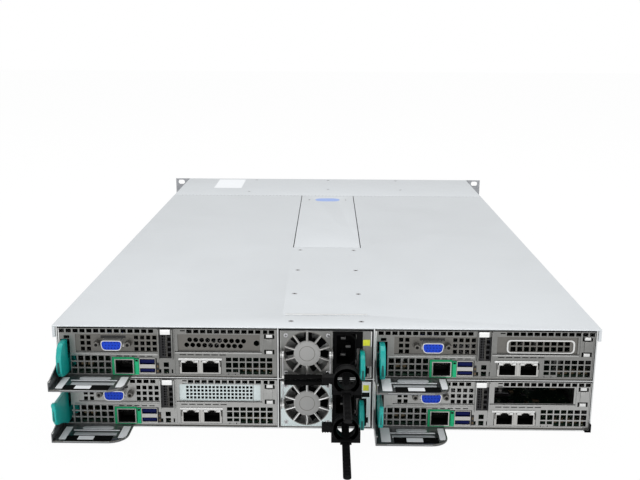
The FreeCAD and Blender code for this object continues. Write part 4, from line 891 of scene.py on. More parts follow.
# ------------------------------------------------------------------ module faces
class SERVER_OT_module_faces(bpy.types.Operator):
    """Perforated rear faces of the modules with their folds, tabs and recess"""

    bl_idname = "server.module_faces"
    bl_label = "Module Faces"

    def execute(self, context):
        for n in MODULES:
            self.face(n)
        for n in (1, 2, 4):
            self.cover(n)
        return {"FINISHED"}

    def face(self, n):
        low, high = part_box("module_panel_%d" % n)
        wide = (high.x - low.x) / MM
        upper = n in (2, 4)
        drift = 1.6 if n in (3, 4) else 0.0
        # Upper modules take the darker plate as painted shade.
        sheet = "upper_plate" if upper else "panel_plate"
        piece = Piece(module_corner(n))
        holes = []
        for i in range(14):
            holes.append((0.9 + 5.5 * i, 5.1 + 5.5 * i, 36.9, 40.1))
        if upper:
            holes.append((98.0, 102.0, 38.6, 39.6))
        else:
            holes += [(98.4, 102.2, 38.8, 39.8), (98.4, 102.2, 36.6, 37.4)]
        for i in range(13):
            holes.append((103.0 + 5.5 * i, 107.3 + 5.5 * i, 36.9, 40.1))
        holes += square_holes((11.7, 4.2), 5.5, (6, 3), 4.3)
        if not upper:
            holes += [(7.0, 8.3, z - 2.0, z + 2.2) for z in (4.2, 9.7, 15.2)]
        for i in range(7):
            for j in range(3):
                x, z = 136.4 + 5.5 * i, 4.6 + 5.5 * j
                lift = 1.6 if j == 0 and i < 2 else 0.0
                drop = 1.2 if j == 2 else 0.0
                holes.append((x - 2.25, x + 2.25, z - 2.25 + lift, z + 2.25 - drop))
        holes += [(83.9, 88.2, 2.5, 6.6), (83.9, 88.2, 8.0, 12.1), (80.2, 81.9, 2.8, 6.2),
                  (90.2, 91.5, 2.8, 6.2)]
        holes += [(13.6, 79.6, 20.6, 36.0), (80.9, 91.3, 15.6, 36.0),
                  (96.2, 130.7, 2.6, 14.0), (42.2, 64.2, 2.6, 15.8), (64.0, 78.4, 2.4, 15.8)]
        fixed = [(95.7 + drift, 161.8, 22.0, 36.2), (4.5, 9.0, 31.9, 34.5),
                 (1.6, 9.0 + drift * 0.6 if upper else 7.1 + drift * 0.6, 2.0, 31.4)]
        fixed += [(165.1, 166.6, 32.8, 36.6), (171.9, 173.4, 32.8, 36.6), (166.6, 171.9, 32.8, 33.6),
                  (165.1, 166.6, 19.6, 23.6), (171.9, 173.4, 19.6, 23.6), (166.6, 171.9, 22.8, 23.6)]
        holes += [(46.0 + 6.2 * i, 50.4 + 6.2 * i, 16.8, 17.6) for i in range(5)]
        holes += [(97.0 + 6.4 * i, 102.2 + 6.4 * i, 18.4, 19.2) for i in range(6)]
        holes = [(x0 + drift, x1 + drift, z0, z1) for x0, x1, z0, z1 in holes] + fixed
        piece.add(grille((0.0, wide), (1.0, 40.6), holes, 1.0, 2.0), sheet)
        middle = Piece()
        # On the upper modules the sunk plate takes the dark plate as painted shade; the lower ones keep the
        # panel plate.
        self.recess(middle, "recess_plate" if upper else "panel_plate", sheet)
        self.riser(middle, sheet)
        piece.take(middle, (drift, 0, 0))
        self.folds(piece, wide, sheet)
        made = piece.make("module_face_%d" % n, "module_%d" % n, "panel_zinc")
        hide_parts("module_panel_%d" % n)

    def recess(self, piece, finish, sheet):
        """Sunk plate with the video socket and two fields of square holes."""
        holes = square_holes((19.2, 23.0), 4.9, (2, 3), 3.4)
        holes += square_holes((62.4, 23.0), 4.9, (4, 3), 3.4)
        holes.append((35.6, 52.4, 24.2, 32.4))
        holes += [(29.6, 33.4, 26.4, 30.2), (54.6, 58.4, 26.4, 30.2)]
        piece.add(grille((13.2, 80.0), (20.2, 36.4), holes, 1.7, 2.4), finish)
        for z in (20.5, 36.05):
            piece.add(block((13.6, 0.85, z - 0.25), (79.6, 1.7, z + 0.2), 0.15), sheet)
        # Dark strip at the foot of the sunk plate: a painted shadow line.
        piece.add(block((13.4, 1.55, 20.2), (79.8, 1.72, 21.0)), "socket_dark")
        # Black block over the video socket: painted shadow above its shell.
        piece.add(block((34.0, 1.5, 32.2), (54.0, 1.72, 34.4), 0.08), "chip_black")

    def riser(self, piece, sheet):
        """Dark louvres and small square holes behind the riser opening, in a raised bracket."""
        holes = square_holes((88.7, 18.2), 4.4, (1, 5), 3.0) + square_holes((83.6, 18.2), 2.2, (2, 9), 1.5)
        piece.add(grille((80.6, 91.6), (15.2, 36.4), holes, 2.0, 2.6), "carrier_plastic")
        piece.add(block((80.7, 4.4, 15.3), (91.5, 4.9, 36.3)), "socket_dark")
        for x in (86.0, 86.9):
            piece.add(block((x, 1.4, 16.0), (x + 0.3, 2.0, 35.8), 0.1), "recess_plate")
        for x in (80.1, 91.0):
            piece.add(block((x, -1.6, 15.0), (x + 0.9, 1.3, 40.4), 0.3), sheet)

    def folds(self, piece, wide, sheet):
        """Bent edges, the bright riser tab, the bar over the sockets and the clip."""
        tab = curved([(82.3, 1.0), (82.3, -1.8), (90.4, -1.8), (90.4, 1.0)], 0.3)
        piece.add(extruded(tab, "z", 36.6, 40.8, 0.25), "white_plate")
        for x, z0 in ((92.6, 1.6), (163.6, 19.6), (wide - 0.9, 1.6)):
            piece.add(block((x, 0.45, z0), (x + 0.8, 1.0, 40.4), 0.25), sheet)
        piece.add(block((96.0, 0.1, 14.3), (131.0, 1.0, 16.0), 0.35), "bright_plate")
        piece.add(block((93.4, 0.4, 19.9), (163.2, 1.0, 21.2), 0.35), "panel_plate")
        piece.add(block((93.4, 0.9, 21.2), (163.2, 1.05, 21.8)), "socket_dark")
        piece.add(block((10.4, 0.5, 17.9), (80.0, 1.0, 19.4), 0.3), "panel_plate")
        piece.add(block((166.9, 0.3, 23.8), (171.6, 1.0, 32.7), 0.3), sheet)
        piece.add(block((166.9, 0.5, 20.2), (171.6, 1.0, 22.6), 0.3), "bright_plate")
        piece.add(block((166.9, 0.5, 33.9), (171.6, 1.0, 36.2), 0.3), "bright_plate")
        for x in (136.4, 141.9):
            piece.add(ring((x, 0, 2.4), "y", 1.0, 0.6, 0.75, 1.0, 16), sheet)
            piece.add(rod((x, 0.9, 2.4), (x, 1.05, 2.4), 0.6, 12), "chip_black")
        piece.add(block((0.05, 0.6, 1.2), (0.9, 1.0, 40.4), 0.2), "bright_plate")
        piece.add(block((0.4, 0.6, 1.1), (wide - 0.4, 1.0, 2.0), 0.2), sheet)
        for x in (16.0, 21.5):
            piece.add(block((x, 5.0, 8.0), (x + 4.4, 8.0, 11.6), 0.5), "part_tan")
        for k in range(5):
            piece.add(block((147.4 + 5.5 * k, 6.0, 3.0), (150.6 + 5.5 * k, 9.0, 6.4), 0.4), "part_tan")

    def cover(self, n):
        """Card slot covers: fine mesh, two rows of round holes, or a raised frame."""
        piece = Piece(module_corner(n))
        node = "slot_cover_%d" % n
        if n == 1:
            holes = square_holes((102.3, 24.4), 3.05, (18, 4), 2.15)
            piece.add(grille((93.0, 164.6), (21.0, 37.0), holes, 2.0, 2.7), "pale_plate")
            piece.add(block((155.6, 1.85, 22.4), (156.0, 2.0, 35.8)), "recess_plate")
        elif n == 2:
            piece.add(self.drilled((93.0, 164.6), (21.0, 37.0)), "recess_plate")
        else:
            holes = [(110.4 + 5.4 * i - 2.1, 110.4 + 5.4 * i + 2.1, z - 2.0, z + tall)
                     for i in range(9) for z, tall in ((25.6, 2.0), (30.6, 1.3))]
            piece.add(grille((93.0, 164.6), (21.0, 37.0), holes, 2.0, 2.7), "recess_plate")
            frame_out = rounded(105.2, 159.4, 22.4, 33.6, 3.2)
            frame_in = rounded(106.4, 158.2, 23.1, 32.6, 2.6)
            # The pressed frame takes the bright plate as a painted highlight along its edge.
            piece.add(collar(frame_out, frame_in, 1.0, 2.0), "bright_plate")
        made = piece.make("card_cover_%d" % n, "module_%d" % n, "bright_steel")
        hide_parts(node)

    def drilled(self, x_range, z_range):
        """A plate with two staggered rows of round holes and a thumb hole."""
        mesh = bmesh.new()
        circles = [(105.4 + 4.8 * i, 31.2 - 0.1 * i, 2.0) for i in range(10)]
        circles += [(102.9 + 4.8 * i, 26.9 - 0.1 * i, 2.0) for i in range(10)]
        circles.append((159.0, 28.6, 2.4))
        corners = [mesh.verts.new((x, 2.0, z)) for x in x_range for z in z_range]
        edges = [mesh.edges.new((corners[a], corners[b])) for a, b in ((0, 1), (1, 3), (3, 2), (2, 0))]
        for x, z, radius in circles:
            loop = [mesh.verts.new((x + radius * math.cos(math.tau * k / 16), 2.0,
                                    z + radius * math.sin(math.tau * k / 16))) for k in range(16)]
            edges += [mesh.edges.new((loop[k], loop[(k + 1) % 16])) for k in range(16)]
        made = bmesh.ops.triangle_fill(mesh, use_beauty=True, use_dissolve=False, edges=edges)
        faces = [item for item in made["geom"] if isinstance(item, bmesh.types.BMFace)]
        pushed = bmesh.ops.extrude_face_region(mesh, geom=faces)
        for item in pushed["geom"]:
            if isinstance(item, bmesh.types.BMVert):
                item.co.y += 0.7
        return from_mesh(mesh)


# ------------------------------------------------------------------ sockets
def socket_shell(piece, x0, x1, z0, z1, front, back, finish):
    """A tin shell round a connector, open at the front."""
    piece.add(collar(rectangle(x0, x1, z0, z1), rectangle(x0 + 0.3, x1 - 0.3, z0 + 0.3, z1 - 0.3),
                     front, back), finish)
    piece.add(block((x0 + 0.1, back - 0.4, z0 + 0.1), (x1 - 0.1, back, z1 - 0.1)), finish)


def network_mouth(piece, x0, front, finish, z0=3.7, wide=12.9, tall=8.4):
    """A dark stepped mouth with eight contacts and a pale rim, for a network plug."""
    x1, z1 = x0 + wide, z0 + tall
    mid = (x0 + x1) / 2
    inside = [(x0, z0), (x1, z0), (x1, z1), (mid + 3.2, z1), (mid + 3.2, z1 + 1.1),
              (mid + 2.1, z1 + 1.1), (mid + 2.1, z1 + 1.9), (mid - 2.1, z1 + 1.9),
              (mid - 2.1, z1 + 1.1), (mid - 3.2, z1 + 1.1), (mid - 3.2, z1), (x0, z1)]
    outside = [(x0 - 0.9, z0 - 0.8), (x1 + 0.9, z0 - 0.8), (x1 + 0.9, z1 + 0.5),
               (mid + 4.0, z1 + 0.5), (mid + 4.0, z1 + 2.2), (mid + 2.6, z1 + 2.2),
               (mid + 2.6, z1 + 2.4), (mid - 2.6, z1 + 2.4), (mid - 2.6, z1 + 2.2),
               (mid - 4.0, z1 + 2.2), (mid - 4.0, z1 + 0.5), (x0 - 0.9, z1 + 0.5)]
    piece.add(collar(outside, inside, front, front + 0.6), finish)
    piece.add(collar(outside, inside, front + 0.6, front + 12.5), "socket_dark")
    piece.add(block((x0 - 0.4, front + 12.1, z0 - 0.4), (x1 + 0.4, front + 12.5, z1 + 2.0)),
              "socket_dark")
    for k in range(8):
        x = mid + (k - 3.5) * 1.02
        piece.add(pipe([(x, front + 7.0, z0 + 6.9), (x, front + 7.6, z0 + 6.7),
                        (x, front + 8.6, z0 + 4.4)], 0.2, 6), "recess_plate")


class SERVER_OT_sockets(bpy.types.Operator):
    """Video, network, management and stacked serial sockets of each module"""

    bl_idname = "server.sockets"
    bl_label = "Sockets"

    def execute(self, context):
        for n in MODULES:
            drift = 1.6 if n in (3, 4) else 0.0
            piece, right, left = Piece(module_corner(n)), Piece(), Piece()
            self.video(right)
            self.network(right)
            self.management(left)
            self.serial(left)
            piece.take(right, (drift, 0, 0))
            piece.take(left, (drift - 1.0, 0, 0))
            made = piece.make("module_sockets_%d" % n, "module_%d" % n, "port_metal")
            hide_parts("module_ports_%d" % n)
        return {"FINISHED"}

    def video(self, piece):
        x, z = 44.0, 28.4
        shell = curved([(x - 7.4, z - 4.15), (x + 7.4, z - 4.15), (x + 8.8, z + 4.15),
                        (x - 8.8, z + 4.15)], 3.2, 6)
        lined = curved([(x - 7.0, z - 3.6), (x + 7.0, z - 3.6), (x + 8.2, z + 3.6),
                        (x - 8.2, z + 3.6)], 2.9, 6)
        piece.add(collar(shell, lined, -5.6, 2.0), "bright_plate")
        piece.add(extruded(lined, "y", -4.9, 2.0), "video_plastic")
        for row, count in ((2.3, 5), (0.0, 5), (-2.3, 5)):
            for k in range(count):
                px = x + (k - 2) * 2.5 + (0.6 if row == 0 else 0)
                piece.add(rod((px, -4.95, z + row), (px, -4.7, z + row), 0.42, 10), "serial_plastic")
        flange = rounded(x - 15.4, x + 15.4, z - 6.1, z + 6.1, 1.6)
        piece.add(extruded(flange, "y", 2.42, 3.1), "port_tin")
        piece.add(block((x - 9.4, 3.1, z - 5.6), (x + 9.4, 11.0, z + 5.6), 0.4), "video_plastic")
        for side in (-12.5, 12.5):
            piece.add(rod((x + side, -4.4, z), (x + side, 2.4, z), 2.6, 6, 0.25), "recess_plate")
            piece.add(ring((x + side, 0, z), "y", 2.2, 1.3, -4.6, -4.3, 20), "recess_plate")
            piece.add(rod((x + side, -4.62, z), (x + side, -4.3, z), 1.3, 16), "socket_dark")

    def network(self, piece):
        socket_shell(piece, 96.7, 130.2, 3.0, 15.2, 0.9, 16.6, "port_tin")
        for x in (98.4, 115.5):
            network_mouth(piece, x, 0.5, "port_tin")
        holes = [(97.4, 112.4, 3.0, 15.0), (114.5, 129.5, 3.0, 15.0)]
        piece.add(grille((96.8, 130.1), (2.9, 15.1), holes, 0.6, 1.0), "port_tin")
        piece.add(block((96.9, 0.3, 14.5), (130.0, 0.7, 14.9)), "socket_dark")
        for x in (97.0, 129.4):
            piece.add(block((x, 0.4, 8.5), (x + 0.6, 0.7, 14.6)), "socket_dark")
        for x in (98.0, 109.0, 115.1, 126.1):
            piece.add(block((x, 0.35, 12.6), (x + 2.9, 0.65, 14.0), 0.15), "bright_plate")

    def management(self, piece):
        holes = [(45.6, 61.2, 2.3, 14.7)]
        piece.add(grille((43.5, 61.6), (1.4, 16.3), holes, 0.35, 1.0), "jack_plastic")
        piece.add(collar(rectangle(45.4, 60.9, 2.2, 14.8), rectangle(46.2, 60.2, 2.9, 14.2), 0.1, 1.0),
                  "port_tin")
        piece.add(block((43.5, 1.0, 2.9), (45.4, 16.6, 15.2), 0.2), "jack_plastic")
        piece.add(block((61.0, 1.0, 2.9), (64.4, 16.6, 15.2), 0.2), "jack_plastic")
        piece.add(block((45.0, 1.0, 14.9), (61.0, 16.6, 15.3), 0.1), "jack_plastic")
        piece.add(block((62.0, -0.05, 1.7), (65.0, 0.9, 15.2), 0.3), "jack_bright")
        piece.add(block((62.4, -0.1, 13.0), (64.4, 0.0, 14.7), 0.1), "socket_dark")
        network_mouth(piece, 46.8, 0.6, "socket_dark", 3.4, 12.6, 8.6)

    def serial(self, piece):
        socket_shell(piece, 65.3, 78.4, 3.0, 15.5, 0.6, 18.1, "port_tin")
        holes = [(65.7, 78.1, 3.0, 7.2), (65.7, 78.1, 10.4, 15.1)]
        piece.add(grille((65.3, 78.4), (2.5, 15.6), holes, 0.3, 0.9), "port_tin")
        for z, tall in ((3.0, 4.2), (10.4, 4.7)):
            piece.add(collar(rectangle(65.4, 78.3, z - 0.2, z + tall + 0.2),
                             rectangle(65.7, 78.1, z, z + tall), 0.9, 10.0), "serial_plastic")
            piece.add(block((65.6, 9.6, z - 0.1), (78.2, 10.0, z + tall + 0.1)), "serial_plastic")
            piece.add(block((66.3, 0.5, z + 1.2), (77.5, 9.8, z + tall - 0.7), 0.3),
                      "serial_plastic")
            for k in range(4):
                x = 68.0 + k * 2.5
                piece.add(block((x, 1.6, z + 1.05), (x + 1.1, 8.0, z + 1.25)), "pin_brass")
        piece.add(block((78.9, 0.4, 2.8), (81.2, 1.2, 11.6), 0.3), "chip_black")
        for z, finish in ((4.8, "part_tan"), (8.8, "part_tan")):
            piece.add(block((79.3, 0.2, z - 1.0), (80.8, 0.5, z + 1.0), 0.15), finish)


# ------------------------------------------------------------------ trays and levers
class SERVER_OT_module_trays(bpy.types.Operator):
    """Sheet trays with the pull shelf, its rolled edge, bands and bare labels"""

    bl_idname = "server.module_trays"
    bl_label = "Module Trays"

    def execute(self, context):
        for n in MODULES:
            low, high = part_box("module_tray_%d" % n)
            wide = (high.x - low.x) / MM
            deep = (high.y - rear_plane()) / MM
            piece = Piece(module_corner(n))
            piece.add(block((0, 1.0, 0), (wide, deep, 1.0), 0.2), "recess_plate")
            for x in (0.0, wide - 0.8):
                piece.add(block((x, 2.0, 0.4), (x + 0.8, deep, 35.2), 0.2), "panel_plate")
            for x, lean in ((0.0, 2.6), (wide - 2.6, 2.6)):
                piece.add(block((x, 2.4, 35.0), (x + lean, deep - 0.4, 36.0), 0.35), "panel_plate")
            piece.add(block((0.8, deep - 1.0, 0.5), (wide - 0.8, deep, 9.0), 0.25), "panel_plate")
            for y in (70, 190, 310, 430):
                for x in (0.0, wide - 0.8):
                    piece.add(block((x + 0.02, y, 16), (x + 0.78, y + 26, 20), 0.3), "zinc_sheet")
            piece.add(rod((4.8, 20, 0.4), (4.8, 20, 16.0), 1.5, 20, 0.2), "steel_bar")
            self.shelf(piece)
            self.trim(piece, n)
            made = piece.make("module_body_%d" % n, "module_%d" % n, "panel_zinc")
            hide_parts("module_tray_%d" % n)
        return {"FINISHED"}

    def shelf(self, piece):
        """Pull shelf bent out of the tray floor, with one large round corner."""
        corner = [(44 + 14 * math.sin(math.radians(a)), -18 - 14 * math.cos(math.radians(a)))
                  for a in range(0, 91, 10)]
        floor = [(0.0, -32.0)] + corner + [(58.0, 1.6), (0.0, 1.6)]
        piece.add(extruded(floor, "z", 0.0, 1.0, 0.22), "shelf_plate")
        edge = [(x, y, 1.0) for x, y in [(0.6, -31.2)] +
                [(44 + 13.2 * math.sin(math.radians(a)), -18 - 13.2 * math.cos(math.radians(a)))
                 for a in range(0, 91, 10)] + [(57.2, 0.8)]]
        piece.add(pipe(edge, 0.5, 10), "recess_plate")
        side = curved([(-32.0, 0.0), (1.0, 0.0), (1.0, 15.5), (-2.0, 15.5), (-28.0, 8.0),
                       (-32.0, 8.0)], 0.9)
        piece.add(extruded(side, "x", 0.0, 0.8, 0.15), "shelf_plate")
        piece.add(block((0.0, -31.6, 7.2), (1.5, -27.9, 8.0), 0.25), "panel_plate")

    def trim(self, piece, n):
        """Rib, pressed oval, bands and bare labels on the shelf."""
        left = n in (1, 2)
        oval = rounded(17.7, 42.9, -9.6, -4.5, 2.5, 6)
        # Oval, rib and bands take pale, less metallic finishes: a painted reflection of the light on the
        # bare shelf metal.
        piece.add(extruded(oval, "z", 0.95, 1.45, 0.35), "cover_coat")
        piece.add(block((12, -12.0, 0.9), (49, -10.8, 1.5), 0.3), "cover_coat")
        piece.add(block((14, -20, 0.95), (48, -15.5, 1.2), 0.12), "shelf_band")
        piece.add(block((9, -31.9, 0.95), (45, -30.7, 1.2), 0.12), "shelf_band")
        if left:
            strips = ((4.0, 9.5, -27.5, -5.5), (50.2, 56.4, -24.4, -3.7))
            band, patch = (9.6, 46.0, -30.4, -21.2), (19.0, 31.5, -28.2, -22.0)
        else:
            strips = ((5.0, 12.6, -27.0, -2.0), (51.6, 57.0, -23.0, -2.6))
            band, patch = (15.0, 50.5, -28.6, -19.2), (25.0, 38.0, -27.2, -20.6)
        for x0, x1, y0, y1 in strips:
            piece.add(extruded(rounded(x0, x1, y0, y1, 0.5), "z", 1.0, 1.14), "bare_label")
        piece.add(extruded(rounded(*band, 0.8), "z", 1.0, 1.3, 0.1), "sleeve_rubber")
        piece.add(extruded(rounded(*patch, 0.4), "z", 1.3, 1.42), "bare_label")


class SERVER_OT_levers(bpy.types.Operator):
    """Moulded release levers of the modules and supplies"""

    bl_idname = "server.levers"
    bl_label = "Levers"

    def execute(self, context):
        edge = context.scene.server_sizes.moulded_edge / MM
        low_side = [(-2.0, 2.4), (20.0, 2.4), (20.0, 14.4), (2.4, 14.4), (2.4, 31.0), (-25.0, 31.0),
                    (-28.6, 32.6), (-31.6, 32.8), (-33.0, 31.2), (-31.4, 28.6), (-31.2, 18.2),
                    (-27.0, 13.0), (-11.0, 7.6)]
        top_side = [(-2.0, 2.4), (20.0, 2.4), (20.0, 14.4), (2.4, 14.4), (2.4, 31.0), (-8.5, 31.0),
                    (-13.0, 28.2), (-16.0, 22.0), (-16.5, 17.0), (-16.3, 9.0), (-13.0, 4.6)]
        for n in MODULES:
            lower = n in (1, 3)
            piece = Piece(module_corner(n))
            side = low_side if lower else top_side
            drift = 1.0 if n in (3, 4) else 0.0
            x0, x1 = (1.5 + drift, 4.8 + drift) if lower else (2.4 + drift, 6.7 + drift)
            piece.add(extruded(side, "x", x0, x1, edge, 3), "lever_plastic")
            piece.add(rod((4.7, 20, 2.4), (4.7, 20, 14.4), 3.0, 28, 0.4), "lever_plastic")
            near = -31.3 if lower else -16.45
            slot = (17.6, 27.6) if lower else (8.6, 18.0)
            piece.add(block((x0 + 0.8, near - 0.06, slot[0]), (x1 - 1.2, near + 2.0, slot[1]), 0.5),
                      "lever_shadow")
            made = piece.make("module_lever_%d" % n, "module_release_%d" % n, "lever_teal", 50)
            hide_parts("module_latch_%d" % n)
        side = [(18.0, 2.0), (18.0, 14.0), (2.0, 14.0), (2.0, 23.8), (-4.0, 23.8), (-9.0, 22.0),
                (-13.6, 18.0), (-16.0, 13.6), (-16.0, 7.4), (-13.4, 4.0), (-10.0, 3.0)]
        for n in SUPPLIES:
            piece = Piece(supply_corner(n))
            piece.add(extruded(side, "x", 64.1, 67.9, edge, 3), "lever_plastic")
            piece.add(rod((66.2, 18, 2.0), (66.2, 18, 14.0), 2.4, 24, 0.3), "lever_plastic")
            piece.add(block((65.0, -16.05, 5.6), (66.9, -14.0, 13.4), 0.4), "lever_shadow")
            made = piece.make("supply_lever_%d" % n, "psu_release_%d" % n, "lever_teal", 50)
            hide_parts("psu_latch_%d" % n)
        return {"FINISHED"}


# ------------------------------------------------------------------ inside a module
class SERVER_OT_module_insides(bpy.types.Operator):
    """Finned heat sinks, memory, fans and small parts on each module's board"""

    bl_idname = "server.module_insides"
    bl_label = "Module Insides"

    def execute(self, context):
        for n in MODULES:
            self.sinks(n)
            self.fans(n)
            self.board_parts(n)
        return {"FINISHED"}

    def sinks(self, n):
        low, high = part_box("heat_sinks_%d" % n)
        corner = module_corner(n)
        x0, x1 = (low.x - corner.x) / MM, (high.x - corner.x) / MM
        z0, z1 = (low.z - corner.z) / MM, (high.z - corner.z) / MM
        piece = Piece(corner)
        for y in (124.7, 299.7):
            piece.add(block((x0, y, z0), (x1, y + 104, z0 + 4.6), 0.5), "fin_aluminium")
            count = 34
            for k in range(count):
                x = x0 + 0.4 + (x1 - x0 - 1.3) * k / (count - 1)
                piece.add(block((x, y + 0.5, z0 + 4), (x + 0.5, y + 103.5, z1)), "fin_aluminium")
            for sx in (x0 + 5, x1 - 5):
                for sy in (y + 6, y + 98):
                    piece.add(rod((sx, sy, z0 + 4), (sx, sy, z1 + 0.0), 3.4, 18, 0.3), "steel_bar")
        made = piece.make("heat_sinks_finned_%d" % n, "module_%d" % n, "sink_aluminium")
        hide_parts("heat_sinks_%d" % n)

    def fans(self, n):
        low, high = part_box("module_fans_%d" % n)
        corner = module_corner(n)
        y0, y1 = (low.y - corner.y) / MM, (high.y - corner.y) / MM
        piece = Piece(corner)
        for k in range(3):
            x = 18.0 + 54.0 * k
            for y, deep in ((y0, 4.0), (y1 - 4.0, 4.0)):
                centre = (x + 20, y, 21)
                piece.add(self.rim(centre, 20.0, 18.2, deep), "fan_plastic")
            piece.add(ring((x + 20, y0, 21), "y", 19.4, 18.2, 3.5, y1 - y0 - 3.5, 40), "fan_plastic")
            piece.add(rod((x + 20, y0 + 1.2, 21), (x + 20, y0 + 22, 21), 9.0, 28, 0.8),
                      "fan_plastic")
            piece.add(rod((x + 20, y0 + 0.9, 21), (x + 20, y0 + 1.3, 21), 7.4, 28), "disc_label")
            for b in range(7):
                turn = Matrix.Rotation(b * math.tau / 7, 4, "Y")
                blade = [moved(self.blade(), (0, 0, 0), turn)]
                for form in blade:
                    piece.add(form, "fan_plastic", (x + 20, y0, 21))
        made = piece.make("module_fan_frames_%d" % n, "module_%d" % n, "fan_black")
        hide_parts("module_fans_%d" % n)

    def rim(self, centre, half, radius, deep):
        """A square frame with a round mouth."""
        outer, inner = [], []
        for k in range(48):
            angle = math.tau * k / 48
            c, d = math.cos(angle), math.sin(angle)
            reach = half / max(abs(c), abs(d))
            outer.append((centre[0] + reach * c, centre[2] + reach * d))
            inner.append((centre[0] + radius * c, centre[2] + radius * d))
        return collar(outer, inner, centre[1], centre[1] + deep)

    def blade(self):
        """One pitched fan blade."""
        points, faces = [], []
        steps = 6
        for i in range(steps + 1):
            r = 8.6 + (17.6 - 8.6) * i / steps
            pitch = math.radians(48 - 16 * i / steps)
            reach = 4.6 + 1.4 * i / steps
            for side in (-1, 1):
                for face in (-0.35, 0.35):
                    across = side * reach * math.cos(pitch) - face * math.sin(pitch)
                    along = side * reach * math.sin(pitch) + face * math.cos(pitch)
                    points.append((across, 9 + along, r))
        for i in range(steps):
            a, b = 4 * i, 4 * (i + 1)
            for p, q in ((0, 1), (1, 3), (3, 2), (2, 0)):
                faces.append((a + p, a + q, b + q, b + p))
        faces += [(0, 1, 3, 2), tuple(4 * steps + k for k in (0, 2, 3, 1))]
        return outward(Form(points, faces))

    def board_parts(self, n):
        """Memory sticks in their sockets, chips, capacitors and board connectors."""
        piece = Piece(module_corner(n))
        top = 3.0
        for y in (110.0, 285.0):
            for x in (24.0, 33.2, 42.4, 126.6, 135.0, 144.0, 153.2):
                piece.add(block((x - 0.6, y - 2, top), (x + 4.6, y + 135.4, top + 7), 0.5),
                          "carrier_plastic")
                if y < 200 and x in (24.0, 33.2, 144.0, 153.2):
                    continue
                piece.add(block((x + 1.3, y, top + 4), (x + 2.6, y + 133.4, top + 30.5), 0.15),
                          "board_mask")
                for k in range(9):
                    piece.add(block((x + 0.5, y + 6 + 14 * k, top + 12),
                                    (x + 3.4, y + 16 + 14 * k, top + 25), 0.2), "chip_black")
        choice = random.Random(40 + n)
        for k in range(46):
            x, y = 16 + choice.random() * 148, 24 + choice.random() * 80
            wide, deep, tall = (1.5 + choice.random() * 5, 1.5 + choice.random() * 5,
                                0.8 + choice.random() * 1.6)
            piece.add(block((x, y, top), (x + wide, y + deep, top + tall), 0.15),
                      "chip_black" if k % 3 else "part_tan")
        for k in range(14):
            x, y = 20 + choice.random() * 140, 24 + choice.random() * 78
            piece.add(rod((x, y, top), (x, y, top + 6.5), 2.6, 18, 0.3), "port_tin")
        for x, y, wide in ((70, 46, 22), (108, 58, 16), (34, 70, 14)):
            piece.add(block((x, y, top), (x + wide, y + wide, top + 2.0), 0.3), "chip_black")
            piece.add(block((x + 2, y + 2, top + 2), (x + wide - 2, y + wide - 2, top + 2.5), 0.2),
                      "fin_aluminium")
        for k in range(5):
            piece.add(block((14 + 32 * k, 428, top), (38 + 32 * k, 436, top + 9), 0.5),
                      "carrier_plastic")
        piece.make("board_parts_%d" % n, "module_%d" % n, "board_green")


